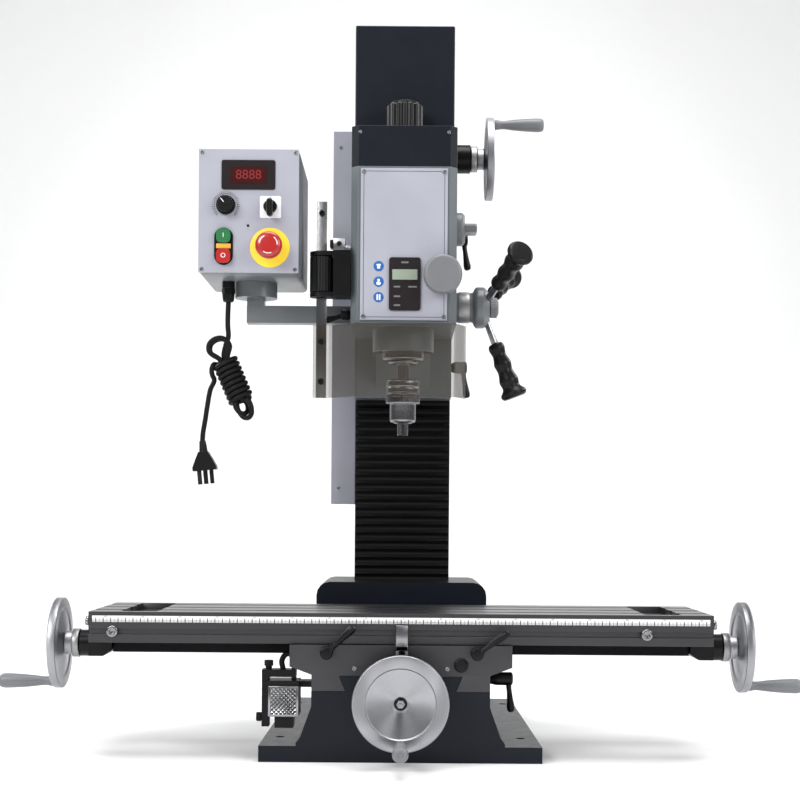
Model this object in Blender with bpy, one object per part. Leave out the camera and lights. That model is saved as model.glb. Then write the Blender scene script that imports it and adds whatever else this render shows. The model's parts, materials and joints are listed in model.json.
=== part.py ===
"""A benchtop milling machine: base, cross slide, table, column, head, quill, spindle and controls.

The origin is on the floor below the spindle axis. +X runs along the table to the operator's right,
+Y points away from the operator and +Z up. All sizes are in metres.
"""
import math

import bmesh
import bpy
from mathutils import Matrix, Vector

for old in list(bpy.data.objects):
    bpy.data.objects.remove(old, do_unlink=True)

# ---------------------------------------------------------------- driving sizes
GAP = 0.0003                   # between pieces that rest on each other
RUN = 0.0005                   # between a shaft or a way and what it runs in

BASE_FRONT = -0.115
BASE_BACK = 0.430
BASE_HALF_FRONT = 0.190
BASE_HALF_BACK = 0.184
BASE_PLATE = 0.0218
PEDESTAL_TOP = 0.0953
PEDESTAL_HALF = 0.1196
PEDESTAL_FOOT_HALF = 0.140
PEDESTAL_BREAK = 0.0205        # straight part of its flank, below the top
BASE_POCKET_TOP = 0.054
REAR_POCKET_TOP = 0.076
BASE_POCKET_INSIDE = 0.030
BASE_POCKET_OUTSIDE = 0.108
Y_WAY_HEIGHT = 0.0203
Y_WAY_TOP_HALF = 0.082
Y_WAY_FOOT_HALF = 0.0737
TROUGH_HALF = 0.022
TROUGH_DEPTH = 0.0335          # below the pedestal's top
BOLT_RADIUS = 0.0065
BOLT_INSET = 0.023
BOLT_FRONT_Y = -0.030
BOLT_BACK_Y = 0.360
BEARING_RADIUS = 0.022
Y_BEARING_LENGTH = 0.0305

SADDLE_DEPTH = 0.230
SADDLE_TOP = 0.157
SADDLE_HALF = 0.149
SADDLE_SIDE_FOOT = 0.128
SADDLE_LEG_TOP = 0.117
SADDLE_LEG_HALF = 0.1195
NUT_HALF_WIDTH = 0.011
NUT_HALF_LENGTH = 0.025

TABLE_LENGTH = 0.840
TABLE_WIDTH = 0.210
TABLE_TOP = 0.199
TABLE_UNDERSIDE = 0.0004       # above the saddle's top
X_WAY_FOOT_HALF = 0.060
X_WAY_NECK_HALF = 0.052
X_WAY_HEIGHT = 0.0166
SLOT_WIDTH = 0.012
SLOT_NECK = 0.009
SLOT_FOOT_WIDTH = 0.020
SLOT_DEPTH = 0.017
SLOT_PITCH = 0.060
TROUGH_INSET = 0.040
TROUGH_LENGTH = 0.050
DRAIN_DEPTH = 0.010
STOP_GROOVE_TOP = 0.0225       # below the table's top
STOP_GROOVE_WIDTH = 0.008
STOP_GROOVE_DEPTH = 0.005
SCREW_GROOVE_HALF = 0.0135
SCREW_GROOVE_TOP = 0.163
BRACKET_PLATE = 0.0082
BRACKET_HALF = 0.062
BRACKET_FOOT = 0.135
BRACKET_REACH = 0.024
BRACKET_BOSS_RADIUS = 0.0185
BRACKET_BOSS_LENGTH = 0.022

SCREW_RADIUS = 0.008
X_SCREW_Z = 0.148
Y_SCREW_Z = 0.086
WHEEL_RADIUS = 0.0635
WHEEL_DEPTH = 0.0352
WHEEL_RIM = 0.015
WHEEL_RIM_WIDTH = 0.0115
DIAL_RADIUS = 0.020
DIAL_LENGTH = 0.0105
GRIP_CIRCLE = 0.054
GRIP_LENGTH = 0.079
GRIP_RADIUS = 0.0105

COLUMN_HALF = 0.0725
COLUMN_BACK = 0.345
COLUMN_FACE = 0.205
COLUMN_TOP = 0.945
Z_WAY_FRONT = 0.187
Z_WAY_FRONT_HALF = 0.055
Z_WAY_NECK_HALF = 0.046
COLUMN_WALL = 0.013
FOOT_WALL = 0.022
THROAT_HALF = 0.017
THROAT_DEPTH = 0.010           # behind the column's face
FOOT_HALF = 0.1285
FOOT_FRONT = 0.160
FOOT_BACK = 0.358
FOOT_TOP = 0.229
FOOT_ROUND = 0.020
HOLLOW_FLOOR = 0.240
Z_SCREW_Y = 0.240
CRANK_Z = 0.887
CRANK_BEARING_LENGTH = 0.0297
ELECTRICS_OUT = 0.110
ELECTRICS_FOOT = 0.347
ELECTRICS_TOP = 0.923
ELECTRICS_FRONT = 0.213
ELECTRICS_BACK = 0.337
SHEET = 0.002

HEAD_HALF = 0.072
HEAD_FRONT = -0.085
HEAD_BACK = 0.150
HEAD_FOOT = 0.592
HEAD_TOP = 0.804
HEAD_CHAMFER = 0.009
CARRIAGE_FRONT = 0.120
CARRIAGE_FOOT = 0.505
CARRIAGE_TOP = 0.800
GUSSET_FRONT = 0.060
GUSSET_HALF = 0.040
SPINDLE_BOSS_RADIUS = 0.043
SPINDLE_BOSS_FOOT = 0.560
HEAD_HOLLOW_HALF = 0.058
HEAD_HOLLOW_FRONT = 0.056
HEAD_HOLLOW_BACK = 0.120
HEAD_HOLLOW_FLOOR = 0.615
PANEL_WIDTH = 0.118
PANEL_HEIGHT = 0.206
PANEL_THICKNESS = 0.002
COVER_HEIGHT = 0.055
COVER_WALL = 0.004
MOTOR_COVER_HALF = 0.071
MOTOR_COVER_FRONT = 0.028
MOTOR_COVER_BACK = 0.175
MOTOR_COVER_HEIGHT = 0.170
MOTOR_RADIUS = 0.056
MOTOR_LENGTH = 0.140
CAP_RADIUS = 0.0255
CAP_HEIGHT = 0.052
CAP_RIBS = 16

QUILL_RADIUS = 0.029
QUILL_BORE = 0.0165
QUILL_FOOT = 0.548
QUILL_TOP = 0.765
NOSE_RADIUS = 0.021
NOSE_FOOT = 0.543
ARBOR_RADIUS = 0.009
CHUCK_TOP = 0.522
CHUCK_RADIUS = 0.0235
SLEEVE_TOP = 0.502
SLEEVE_STEP = 0.487
SLEEVE_FOOT = 0.461
SLEEVE_RING_RADIUS = 0.024
SLEEVE_RADIUS = 0.0183
CHUCK_CORE_RADIUS = 0.014
JAW_TIP = 0.443
JAW_TIP_RADIUS = 0.0075
JAW_MOUTH_RADIUS = 0.005
DRAWBAR_TOP = 0.850
DRAWBAR_RADIUS = 0.010

FEED_Y = 0.040
FEED_Z = 0.629
FEED_SHAFT_RADIUS = 0.007
FEED_BARREL_RADIUS = 0.021
FEED_BARREL_END = 0.101
FEED_FLANGE_RADIUS = 0.0295
FEED_FLANGE_END = 0.123
FEED_TILT = math.radians(21)
FEED_REACH = 0.137
FEED_ROD_RADIUS = 0.005
FEED_GRIP_START = 0.055
CLUTCH_RADIUS = 0.0145
CLUTCH_LENGTH = 0.0127
FINE_KNOB_RADIUS = 0.026
FINE_KNOB_X = 0.0525
FINE_KNOB_Z = 0.6545
FINE_KNOB_LENGTH = 0.032
SELECTOR_Y = 0.020
SELECTOR_Z = 0.7375
SELECTOR_RADIUS = 0.0235
SELECTOR_LENGTH = 0.031

GUARD_AXIS_X = -0.112
GUARD_AXIS_Y = -0.070
GUARD_BAR_WIDTH = 0.014
GUARD_BAR_THICKNESS = 0.004
GUARD_BAR_FOOT = 0.490
GUARD_BAR_TOP = 0.758
GUARD_FOOT = 0.490
GUARD_TOP = 0.589
GUARD_SHEET = 0.003
GUARD_COLLAR_RADIUS = 0.016
HINGE_FOOT = 0.627
HINGE_TOP = 0.689
HINGE_PLATE = 0.006

BOX_LEFT = -0.276
BOX_RIGHT = -0.140
BOX_FRONT = -0.110
BOX_BACK = 0.075
BOX_FOOT = 0.653
BOX_TOP = 0.820
BOX_WALL = 0.004
LID_THICKNESS = 0.003
SWIVEL_X = -0.206
SWIVEL_Y = -0.017
SWIVEL_RADIUS = 0.0295
SWIVEL_HEIGHT = 0.021
ARM_SIZE = 0.024
ARM_FOOT = 0.597
KNOB_STEM = 0.004
SPEED_X = -0.2385
SPEED_Z = 0.744
SPEED_RADIUS = 0.013
SPEED_LENGTH = 0.016
SWITCH_X = -0.179
SWITCH_Z = 0.742
SWITCH_RADIUS = 0.009
PUSH_X = -0.241
START_Z = 0.7025
STOP_Z = 0.6755
PUSH_RADIUS = 0.0096
PUSH_OUT = 0.0075
ESTOP_X = -0.179
ESTOP_Z = 0.6875
ESTOP_RADIUS = 0.018
ESTOP_STEM = 0.009
ESTOP_OUT = 0.030

CORD_RADIUS = 0.0035
CORD_END = 0.0010              # from the cord's cut end to what it enters, as they meet at a slant
GLAND_X = -0.2430
GLAND_Y = -0.034
GLAND_LENGTH = 0.028
GLAND_RADIUS = 0.00925
HANK_TOP = (-0.2620, 0.5770)   # X and Z of the middle of the hank's upper end
HANK_FOOT = (-0.2125, 0.4620)
HANK_HALF_WIDTH = 0.0190
HANK_THICKNESS = 0.038
PLUG_TOP = (-0.2775, 0.4320)
PLUG_LEAN = math.radians(-5.6)
PLUG_HALF_WIDTH = 0.0165
PLUG_THICKNESS = 0.018

# ---------------------------------------------------------------- derived places
Y_WAY_TOP = PEDESTAL_TOP + Y_WAY_HEIGHT
TABLE_BOTTOM = SADDLE_TOP + TABLE_UNDERSIDE
X_WAY_FOOT = TABLE_BOTTOM - X_WAY_HEIGHT
TABLE_HALF = TABLE_LENGTH / 2
TABLE_FRONT = -TABLE_WIDTH / 2
BORE = SCREW_RADIUS + RUN
COVER_TOP = HEAD_TOP + GAP + COVER_HEIGHT
MOTOR_COVER_FOOT = COVER_TOP + GAP
MOTOR_Y = (MOTOR_COVER_FRONT + MOTOR_COVER_BACK) / 2
HEAD_SIDE = HEAD_HALF + GAP
LID_BACK = BOX_FRONT - GAP
LID_FRONT = LID_BACK - LID_THICKNESS
PANEL_FRONT = HEAD_FRONT - GAP - PANEL_THICKNESS
X_WHEEL_START = TABLE_HALF + GAP + BRACKET_PLATE + BRACKET_BOSS_LENGTH + GAP
Y_WHEEL_START = BASE_FRONT - Y_BEARING_LENGTH - GAP
Z_WHEEL_START = COLUMN_HALF + GAP + CRANK_BEARING_LENGTH + GAP
WHEEL_SOCKET = WHEEL_DEPTH * 0.55


# ---------------------------------------------------------------- materials
def make_material(name, colour, roughness, metallic=0.0, alpha=1.0):
    material = bpy.data.materials.new(name)
    material.use_nodes = True
    shader = material.node_tree.nodes["Principled BSDF"]
    shader.inputs["Base Color"].default_value = (*colour, 1.0)
    shader.inputs["Roughness"].default_value = roughness
    shader.inputs["Metallic"].default_value = metallic
    shader.inputs["Alpha"].default_value = alpha
    return material


def paint(name, colour, roughness=0.5, metallic=0.0, alpha=1.0):
    """A painter: each call gives a new material of its own for one piece."""
    return lambda piece: make_material(f"{piece}_{name}", colour, roughness, metallic, alpha)


NAVY = paint("navy_paint", (0.018, 0.022, 0.034), 0.55)
IRON = paint("ground_iron", (0.16, 0.155, 0.16), 0.4, 1.0)
HEAD_GREY = paint("grey_green_paint", (0.30, 0.34, 0.35), 0.5)
PALE = paint("pale_sheet", (0.60, 0.60, 0.68), 0.45)
ALUMINIUM = paint("turned_aluminium", (0.72, 0.72, 0.74), 0.3, 1.0)
STEEL = paint("bright_steel", (0.55, 0.55, 0.57), 0.3, 1.0)
BLACK = paint("black_plastic", (0.012, 0.012, 0.014), 0.45)
RUBBER = paint("black_rubber", (0.010, 0.010, 0.012), 0.7)
GREY = paint("grey_plastic", (0.22, 0.23, 0.25), 0.5)
SMOKE = paint("smoky_sheet", (0.35, 0.31, 0.27), 0.15, 0.0, 0.6)
RED = paint("red_plastic", (0.60, 0.02, 0.02), 0.4)
GREEN = paint("green_plastic", (0.03, 0.35, 0.08), 0.4)

# ---------------------------------------------------------------- joint frames
frames = {}


def joint_frame(name, at=(0.0, 0.0, 0.0), under=None):
    """An empty on a joint's axis; the pieces of that body hang from it."""
    empty = bpy.data.objects.new(f"{name}_frame", None)
    bpy.context.scene.collection.objects.link(empty)
    point = Vector(at)
    if under:
        empty.parent = frames[under][0]
        empty.location = point - frames[under][1]
    else:
        empty.location = point
    frames[name] = (empty, point)


# ---------------------------------------------------------------- shape tools
def finish(name, bm, body, coat, at=None, smooth=False):
    """Turns a bmesh in world places into an object of a body, or into a cutter if it has no coat."""
    bmesh.ops.recalc_face_normals(bm, faces=bm.faces)
    origin = Vector(at) if at else frames[body][1] if body else Vector()
    bmesh.ops.translate(bm, vec=-origin, verts=bm.verts)
    mesh = bpy.data.meshes.new(name)
    bm.to_mesh(mesh)
    bm.free()
    piece = bpy.data.objects.new(name, mesh)
    bpy.context.scene.collection.objects.link(piece)
    if body:
        piece.parent = frames[body][0]
        piece.location = origin - frames[body][1]
    else:
        piece.location = origin
    if coat:
        mesh.materials.append(coat(name))
    else:
        piece.hide_render = True
        piece.display_type = "WIRE"
    if smooth:
        mesh.shade_smooth()
        mesh.set_sharp_from_angle(angle=math.radians(35))
    return piece


def place(axis, u, v, along):
    """X takes u, v as Y, Z; Y takes them as X, Z; Z takes them as X, Y."""
    return {"X": (along, u, v), "Y": (u, along, v), "Z": (u, v, along)}[axis]


def prism(name, axis, outline, start, end, body=None, coat=None, at=None):
    bm = bmesh.new()
    rings = [[bm.verts.new(place(axis, u, v, w)) for u, v in outline] for w in (start, end)]
    bm.faces.new(rings[0])
    bm.faces.new(rings[1])
    count = len(outline)
    for i in range(count):
        j = (i + 1) % count
        bm.faces.new((rings[0][i], rings[0][j], rings[1][j], rings[1][i]))
    return finish(name, bm, body, coat, at)


def block(name, low, high, body=None, coat=None, at=None):
    outline = rectangle(low[0], high[0], low[1], high[1])
    return prism(name, "Z", outline, low[2], high[2], body, coat, at)


def turned(name, axis, profile, centre, body=None, coat=None, segments=24, at=None, direction=1):
    """Turns a profile of (radius, distance along the axis) points; ends on the axis close it."""
    bm = bmesh.new()
    rings = []
    for radius, along in profile:
        count = 1 if radius == 0 else segments
        ring = []
        for i in range(count):
            turn = math.tau * (i + 0.5) / segments
            u, v, w = place(axis, radius * math.cos(turn), radius * math.sin(turn), along * direction)
            ring.append(bm.verts.new((centre[0] + u, centre[1] + v, centre[2] + w)))
        rings.append(ring)
    pairs = list(zip(rings, rings[1:]))
    if profile[0][0] and profile[-1][0]:
        pairs.append((rings[-1], rings[0]))
    for low, high in pairs:
        for i in range(segments):
            j = (i + 1) % segments
            if len(low) == 1:
                bm.faces.new((low[0], high[j], high[i]))
            elif len(high) == 1:
                bm.faces.new((low[i], low[j], high[0]))
            else:
                bm.faces.new((low[i], low[j], high[j], high[i]))
    return finish(name, bm, body, coat, at, smooth=True)


def rod(name, axis, radius, start, end, centre, body=None, coat=None, segments=20, at=None):
    """A plain round bar along an axis through centre, from start to end in world places."""
    spot = list(centre)
    spot["XYZ".index(axis)] = 0.0
    profile = [(0, start), (radius, start), (radius, end), (0, end)]
    return turned(name, axis, profile, spot, body, coat, segments, at)


def boolean(target, operation, tools):
    for tool in tools:
        modifier = target.modifiers.new(tool.name, "BOOLEAN")
        modifier.operation = operation
        modifier.solver = "EXACT"
        modifier.object = tool
        tool.hide_render = True
        tool.display_type = "WIRE"
    return target


def join(target, *tools):
    return boolean(target, "UNION", tools)


def cut(target, *tools):
    return boolean(target, "DIFFERENCE", tools)


def rectangle(left, right, low, high):
    return [(left, low), (right, low), (right, high), (left, high)]


def mirrored(half):
    """Closes a right-hand outline, listed bottom to top, with its mirror image."""
    return half + [(-u, v) for u, v in reversed(half)]


def round_bar(points, radius, count=8):
    """A stadium outline between two points of a plane."""
    (u0, v0), (u1, v1) = points
    lean = math.atan2(v1 - v0, u1 - u0)
    length = math.hypot(u1 - u0, v1 - v0) - 2 * radius
    outline = []
    for end, (along, first) in enumerate(((radius + length, -math.pi / 2), (radius, math.pi / 2))):
        for i in range(count + 1):
            turn = first + math.pi * i / count
            a, b = along + radius * math.cos(turn), radius * math.sin(turn)
            outline.append((u0 + a * math.cos(lean) - b * math.sin(lean),
                            v0 + a * math.sin(lean) + b * math.cos(lean)))
    return outline


def bent_strip(points, thickness):
    """The outline of a bent sheet along a line of points, with mitred corners."""
    sides = ([], [])
    for i, (u, v) in enumerate(points):
        before = Vector(points[max(i - 1, 0)])
        after = Vector(points[min(i + 1, len(points) - 1)])
        here = Vector((u, v))
        first = (here - before).normalized() if i else (after - here).normalized()
        last = (after - here).normalized() if i < len(points) - 1 else first
        middle = (first + last).normalized()
        normal = Vector((-middle.y, middle.x))
        reach = thickness / 2 / max(0.3, middle.dot(first))
        for side, sign in zip(sides, (1, -1)):
            side.append(tuple(here + normal * reach * sign))
    return sides[0] + sides[1][::-1]


def smooth_path(points, steps):
    """Points on a Catmull-Rom curve through the given ones."""
    line = [Vector(p) for p in points]
    line = [2 * line[0] - line[1]] + line + [2 * line[-1] - line[-2]]
    path = []
    for i in range(1, len(line) - 2):
        p0, p1, p2, p3 = line[i - 1:i + 3]
        for k in range(steps):
            t = k / steps
            path.append(0.5 * (2 * p1 + (p2 - p0) * t + (2 * p0 - 5 * p1 + 4 * p2 - p3) * t * t
                               + (3 * p1 - p0 - 3 * p2 + p3) * t ** 3))
    return path + [line[-2]]


def tube(name, points, radius, body, coat, steps=4):
    curve = bpy.data.curves.new(name, "CURVE")
    curve.dimensions = "3D"
    curve.bevel_depth = radius
    curve.bevel_resolution = 2
    curve.use_fill_caps = True
    origin = frames[body][1]
    path = smooth_path(points, steps)
    spline = curve.splines.new("POLY")
    spline.points.add(len(path) - 1)
    for spot, point in zip(spline.points, path):
        spot.co = (*(point - origin), 1.0)
    piece = bpy.data.objects.new(name, curve)
    bpy.context.scene.collection.objects.link(piece)
    piece.parent = frames[body][0]
    curve.materials.append(coat(name))
    return piece


# ---------------------------------------------------------------- bodies
joint_frame("base")
joint_frame("saddle", (0, 0, Y_SCREW_Z), "base")
joint_frame("table", (0, 0, X_SCREW_Z), "saddle")
joint_frame("x_screw", (0, 0, X_SCREW_Z), "table")
joint_frame("y_screw", (0, 0, Y_SCREW_Z), "base")
joint_frame("z_crank", (0, Z_SCREW_Y, CRANK_Z), "base")
joint_frame("z_screw", (0, Z_SCREW_Y, 0), "base")
joint_frame("head", (0, Z_SCREW_Y, CARRIAGE_FOOT), "base")
joint_frame("quill", (0, 0, QUILL_FOOT), "head")
joint_frame("spindle", (0, 0, QUILL_FOOT), "quill")
joint_frame("sleeve", (0, 0, SLEEVE_FOOT), "spindle")
joint_frame("feed", (0, FEED_Y, FEED_Z), "head")
joint_frame("guard", (GUARD_AXIS_X, GUARD_AXIS_Y, GUARD_FOOT), "head")
joint_frame("control", (SWIVEL_X, SWIVEL_Y, BOX_FOOT), "head")

# ---------------------------------------------------------------- base
base = prism("base_casting", "Z",
             [(-BASE_HALF_FRONT, BASE_FRONT), (BASE_HALF_FRONT, BASE_FRONT),
              (BASE_HALF_BACK, BASE_BACK), (-BASE_HALF_BACK, BASE_BACK)],
             0, BASE_PLATE, "base", NAVY)
pedestal_outline = mirrored([(PEDESTAL_FOOT_HALF, BASE_PLATE / 2),
                             (PEDESTAL_FOOT_HALF, BASE_PLATE + 0.004),
                             (PEDESTAL_FOOT_HALF - 0.006, BASE_PLATE + 0.012),
                             (PEDESTAL_HALF, PEDESTAL_TOP - PEDESTAL_BREAK),
                             (PEDESTAL_HALF, PEDESTAL_TOP)])
way_outline = mirrored([(Y_WAY_FOOT_HALF, PEDESTAL_TOP - 0.004),
                        (Y_WAY_FOOT_HALF, PEDESTAL_TOP),
                        (Y_WAY_TOP_HALF, Y_WAY_TOP)])
y_spot = (0, 0, Y_SCREW_Z)
join(base,
     prism("pedestal", "Y", pedestal_outline, BASE_FRONT + GAP, FOOT_BACK),
     prism("y_ways", "Y", way_outline, BASE_FRONT + 2 * GAP, FOOT_FRONT - GAP),
     rod("y_bearing", "Y", BEARING_RADIUS, BASE_FRONT - Y_BEARING_LENGTH, BASE_FRONT + 0.01, y_spot))
TROUGH_BACK = FOOT_FRONT - 0.010
cut(base,
    block("trough", (-TROUGH_HALF, BASE_FRONT + 0.018, PEDESTAL_TOP - TROUGH_DEPTH),
          (TROUGH_HALF, TROUGH_BACK, Y_WAY_TOP + 0.01)),
    rod("y_bore", "Y", BORE, BASE_FRONT - 0.05, BASE_FRONT + 0.045, y_spot, segments=18))
cut(base, block("rear_pocket", (-BASE_POCKET_OUTSIDE, FOOT_FRONT + FOOT_WALL, -0.01),
                (BASE_POCKET_OUTSIDE, FOOT_BACK - 0.015, REAR_POCKET_TOP)))
for side in (-1, 1):
    inner, outer = sorted((side * BASE_POCKET_INSIDE, side * BASE_POCKET_OUTSIDE))
    cut(base, block(f"pocket_{side}", (inner, BASE_FRONT + 0.025, -0.01),
                    (outer, FOOT_FRONT + 0.004, BASE_POCKET_TOP)))
    for where in (BOLT_FRONT_Y, BOLT_BACK_Y):
        spot = (side * (BASE_HALF_FRONT - BOLT_INSET), where, 0)
        cut(base, rod(f"bolt_hole_{side}_{where}", "Z", BOLT_RADIUS, -0.01, BASE_PLATE + 0.01, spot,
                      segments=12))

# ---------------------------------------------------------------- column
column = prism("column", "Z",
               mirrored([(COLUMN_HALF, COLUMN_BACK), (COLUMN_HALF, COLUMN_FACE),
                         (Z_WAY_NECK_HALF, COLUMN_FACE), (Z_WAY_FRONT_HALF, Z_WAY_FRONT)]),
               PEDESTAL_TOP + 0.05, COLUMN_TOP, "base", NAVY)
foot_outline = [(FOOT_HALF, PEDESTAL_TOP + GAP)]
for i in range(5):
    turn = math.pi / 2 * i / 4
    foot_outline.append((FOOT_HALF - FOOT_ROUND * (1 - math.cos(turn)),
                         FOOT_TOP - FOOT_ROUND * (1 - math.sin(turn))))
join(column, prism("column_foot", "Y", mirrored(foot_outline), FOOT_FRONT, FOOT_BACK))
HOLLOW_FRONT = COLUMN_FACE + THROAT_DEPTH
cut(column,
    block("foot_hollow", (FOOT_WALL - FOOT_HALF, FOOT_FRONT + FOOT_WALL, PEDESTAL_TOP - 0.01),
          (FOOT_HALF - FOOT_WALL, FOOT_BACK - FOOT_WALL, FOOT_TOP - FOOT_WALL)),
    block("column_hollow", (COLUMN_WALL - COLUMN_HALF, HOLLOW_FRONT, HOLLOW_FLOOR),
          (COLUMN_HALF - COLUMN_WALL, COLUMN_BACK - COLUMN_WALL, COLUMN_TOP + 0.01)),
    block("column_throat", (-THROAT_HALF, Z_WAY_FRONT - 0.01, HOLLOW_FLOOR + GAP),
          (THROAT_HALF, HOLLOW_FRONT + 0.01, COLUMN_TOP + 0.011)),
    rod("crank_bore", "X", BORE, 0.03, COLUMN_HALF + 0.01, (0, Z_SCREW_Y, CRANK_Z)))

bellows_front, bellows_back, pleat, pleats = 0.1720, Z_WAY_FRONT - GAP, 0.005, 22
bellows_foot, bellows_top = FOOT_TOP + GAP, CARRIAGE_FOOT - GAP
bellows_line = []
for i in range(2 * pleats + 1):
    height = bellows_foot + (bellows_top - bellows_foot) * i / (2 * pleats)
    bellows_line.append((pleat * (i % 2), height))
bellows_outline = [(bellows_front + d, h) for d, h in bellows_line]
bellows_outline += [(bellows_back - pleat + d, h) for d, h in reversed(bellows_line)]
prism("bellows", "X", bellows_outline, -0.0707, 0.0707, "base", RUBBER)

electrics = block("rear_electrics_box", (-ELECTRICS_OUT, ELECTRICS_FRONT, ELECTRICS_FOOT),
                  (-COLUMN_HALF - GAP, ELECTRICS_BACK, ELECTRICS_TOP), "base", PALE)
cut(electrics, block("electrics_inside",
                     (SHEET - ELECTRICS_OUT, ELECTRICS_FRONT + SHEET, ELECTRICS_FOOT + SHEET),
                     (-COLUMN_HALF + 0.01, ELECTRICS_BACK - SHEET, ELECTRICS_TOP - SHEET)))
turned("z_crank_bearing", "X",
       [(BORE, 0), (BEARING_RADIUS, 0), (BEARING_RADIUS, CRANK_BEARING_LENGTH),
        (BORE, CRANK_BEARING_LENGTH)],
       (COLUMN_HALF + GAP, Z_SCREW_Y, CRANK_Z), "base", BLACK)

# ---------------------------------------------------------------- saddle
leg_foot = PEDESTAL_TOP + GAP
saddle_half = [(Y_WAY_FOOT_HALF + RUN, leg_foot), (SADDLE_LEG_HALF, leg_foot),
               (SADDLE_LEG_HALF, SADDLE_LEG_TOP), (SADDLE_HALF, SADDLE_SIDE_FOOT),
               (SADDLE_HALF, SADDLE_TOP)]
way_slope = (Y_WAY_TOP_HALF - Y_WAY_FOOT_HALF) / Y_WAY_HEIGHT
groove_half = Y_WAY_TOP_HALF + RUN + way_slope * GAP
saddle_outline = mirrored([(groove_half, Y_WAY_TOP + GAP)] + saddle_half)
saddle = prism("saddle_casting", "Y", saddle_outline, -SADDLE_DEPTH / 2, SADDLE_DEPTH / 2, "saddle", IRON)
x_slope = (X_WAY_FOOT_HALF - X_WAY_NECK_HALF) / X_WAY_HEIGHT


def x_way_half(z):
    """Half the width of the table's dovetail at a height."""
    return X_WAY_FOOT_HALF - (z - X_WAY_FOOT) * x_slope


groove_floor, groove_lip = X_WAY_FOOT - GAP, SADDLE_TOP + 0.002
cut(saddle, prism("x_groove", "X",
                  mirrored([(x_way_half(groove_floor) + RUN, groove_floor),
                            (x_way_half(groove_lip) + RUN, groove_lip)]),
                  -SADDLE_HALF - 0.01, SADDLE_HALF + 0.01))
join(saddle,
     block("x_nut", (-NUT_HALF_LENGTH, -NUT_HALF_WIDTH, X_WAY_FOOT - 0.008),
           (NUT_HALF_LENGTH, NUT_HALF_WIDTH, X_SCREW_Z + SCREW_RADIUS + 0.0035)),
     block("y_nut", (-NUT_HALF_WIDTH - 0.002, -0.015, Y_SCREW_Z - SCREW_RADIUS - 0.005),
           (NUT_HALF_WIDTH + 0.002, 0.015, Y_WAY_TOP + 0.006)))
cut(saddle,
    rod("x_nut_bore", "X", BORE, -SADDLE_HALF - 0.01, SADDLE_HALF + 0.01, (0, 0, X_SCREW_Z)),
    rod("y_nut_bore", "Y", BORE, -0.02, 0.02, y_spot))

# a small machine lamp in a fork on the saddle's left leg
lamp_front, lamp_back = -0.100, -0.056
lamp = block("work_lamp", (-0.1805, lamp_front, 0.0600), (-0.1370, lamp_back, 0.1070), "saddle", GREY)
join(lamp,
     block("lamp_arm", (-0.1400, -0.092, 0.0980), (-SADDLE_LEG_HALF - GAP, -0.064, 0.1060)),
     block("lamp_top_bar", (-0.1880, -0.090, 0.1110), (-0.1420, -0.066, 0.1210)),
     block("lamp_side_bar", (-0.1880, -0.089, 0.0440), (-0.1783, -0.067, 0.1130)),
     block("lamp_top_post", (-0.1480, -0.088, 0.1040), (-0.1422, -0.068, 0.1235)),
     block("lamp_foot", (-0.1700, -0.095, 0.0430), (-0.1450, -0.061, 0.0610)),
     rod("lamp_top_knob", "Z", 0.0045, 0.1190, 0.1330, (-0.1795, -0.078, 0), segments=12),
     rod("lamp_side_knob", "X", 0.0045, -0.1960, -0.1860, (0, -0.078, 0.0560), segments=12))

# ---------------------------------------------------------------- table
top, neck = TABLE_TOP, SLOT_WIDTH / 2
stop_high = TABLE_TOP - STOP_GROOVE_TOP
stop_low = stop_high - STOP_GROOVE_WIDTH
stop_in = TABLE_FRONT + STOP_GROOVE_DEPTH
table_outline = [(TABLE_FRONT, TABLE_BOTTOM), (TABLE_FRONT, stop_low), (stop_in, stop_low),
                 (stop_in, stop_high), (TABLE_FRONT, stop_high), (TABLE_FRONT, top)]
for middle in (-SLOT_PITCH, 0, SLOT_PITCH):
    wide = SLOT_FOOT_WIDTH / 2
    table_outline += [(middle - neck, top), (middle - neck, top - SLOT_NECK),
                      (middle - wide, top - SLOT_NECK), (middle - wide, top - SLOT_DEPTH),
                      (middle + wide, top - SLOT_DEPTH), (middle + wide, top - SLOT_NECK),
                      (middle + neck, top - SLOT_NECK), (middle + neck, top)]
table_outline += [(-TABLE_FRONT, top), (-TABLE_FRONT, TABLE_BOTTOM),
                  (X_WAY_NECK_HALF, TABLE_BOTTOM), (X_WAY_FOOT_HALF, X_WAY_FOOT),
                  (SCREW_GROOVE_HALF, X_WAY_FOOT), (SCREW_GROOVE_HALF, SCREW_GROOVE_TOP),
                  (-SCREW_GROOVE_HALF, SCREW_GROOVE_TOP), (-SCREW_GROOVE_HALF, X_WAY_FOOT),
                  (-X_WAY_FOOT_HALF, X_WAY_FOOT), (-X_WAY_NECK_HALF, TABLE_BOTTOM)]
table = prism("table_top", "X", table_outline, -TABLE_HALF, TABLE_HALF, "table", IRON)
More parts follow.
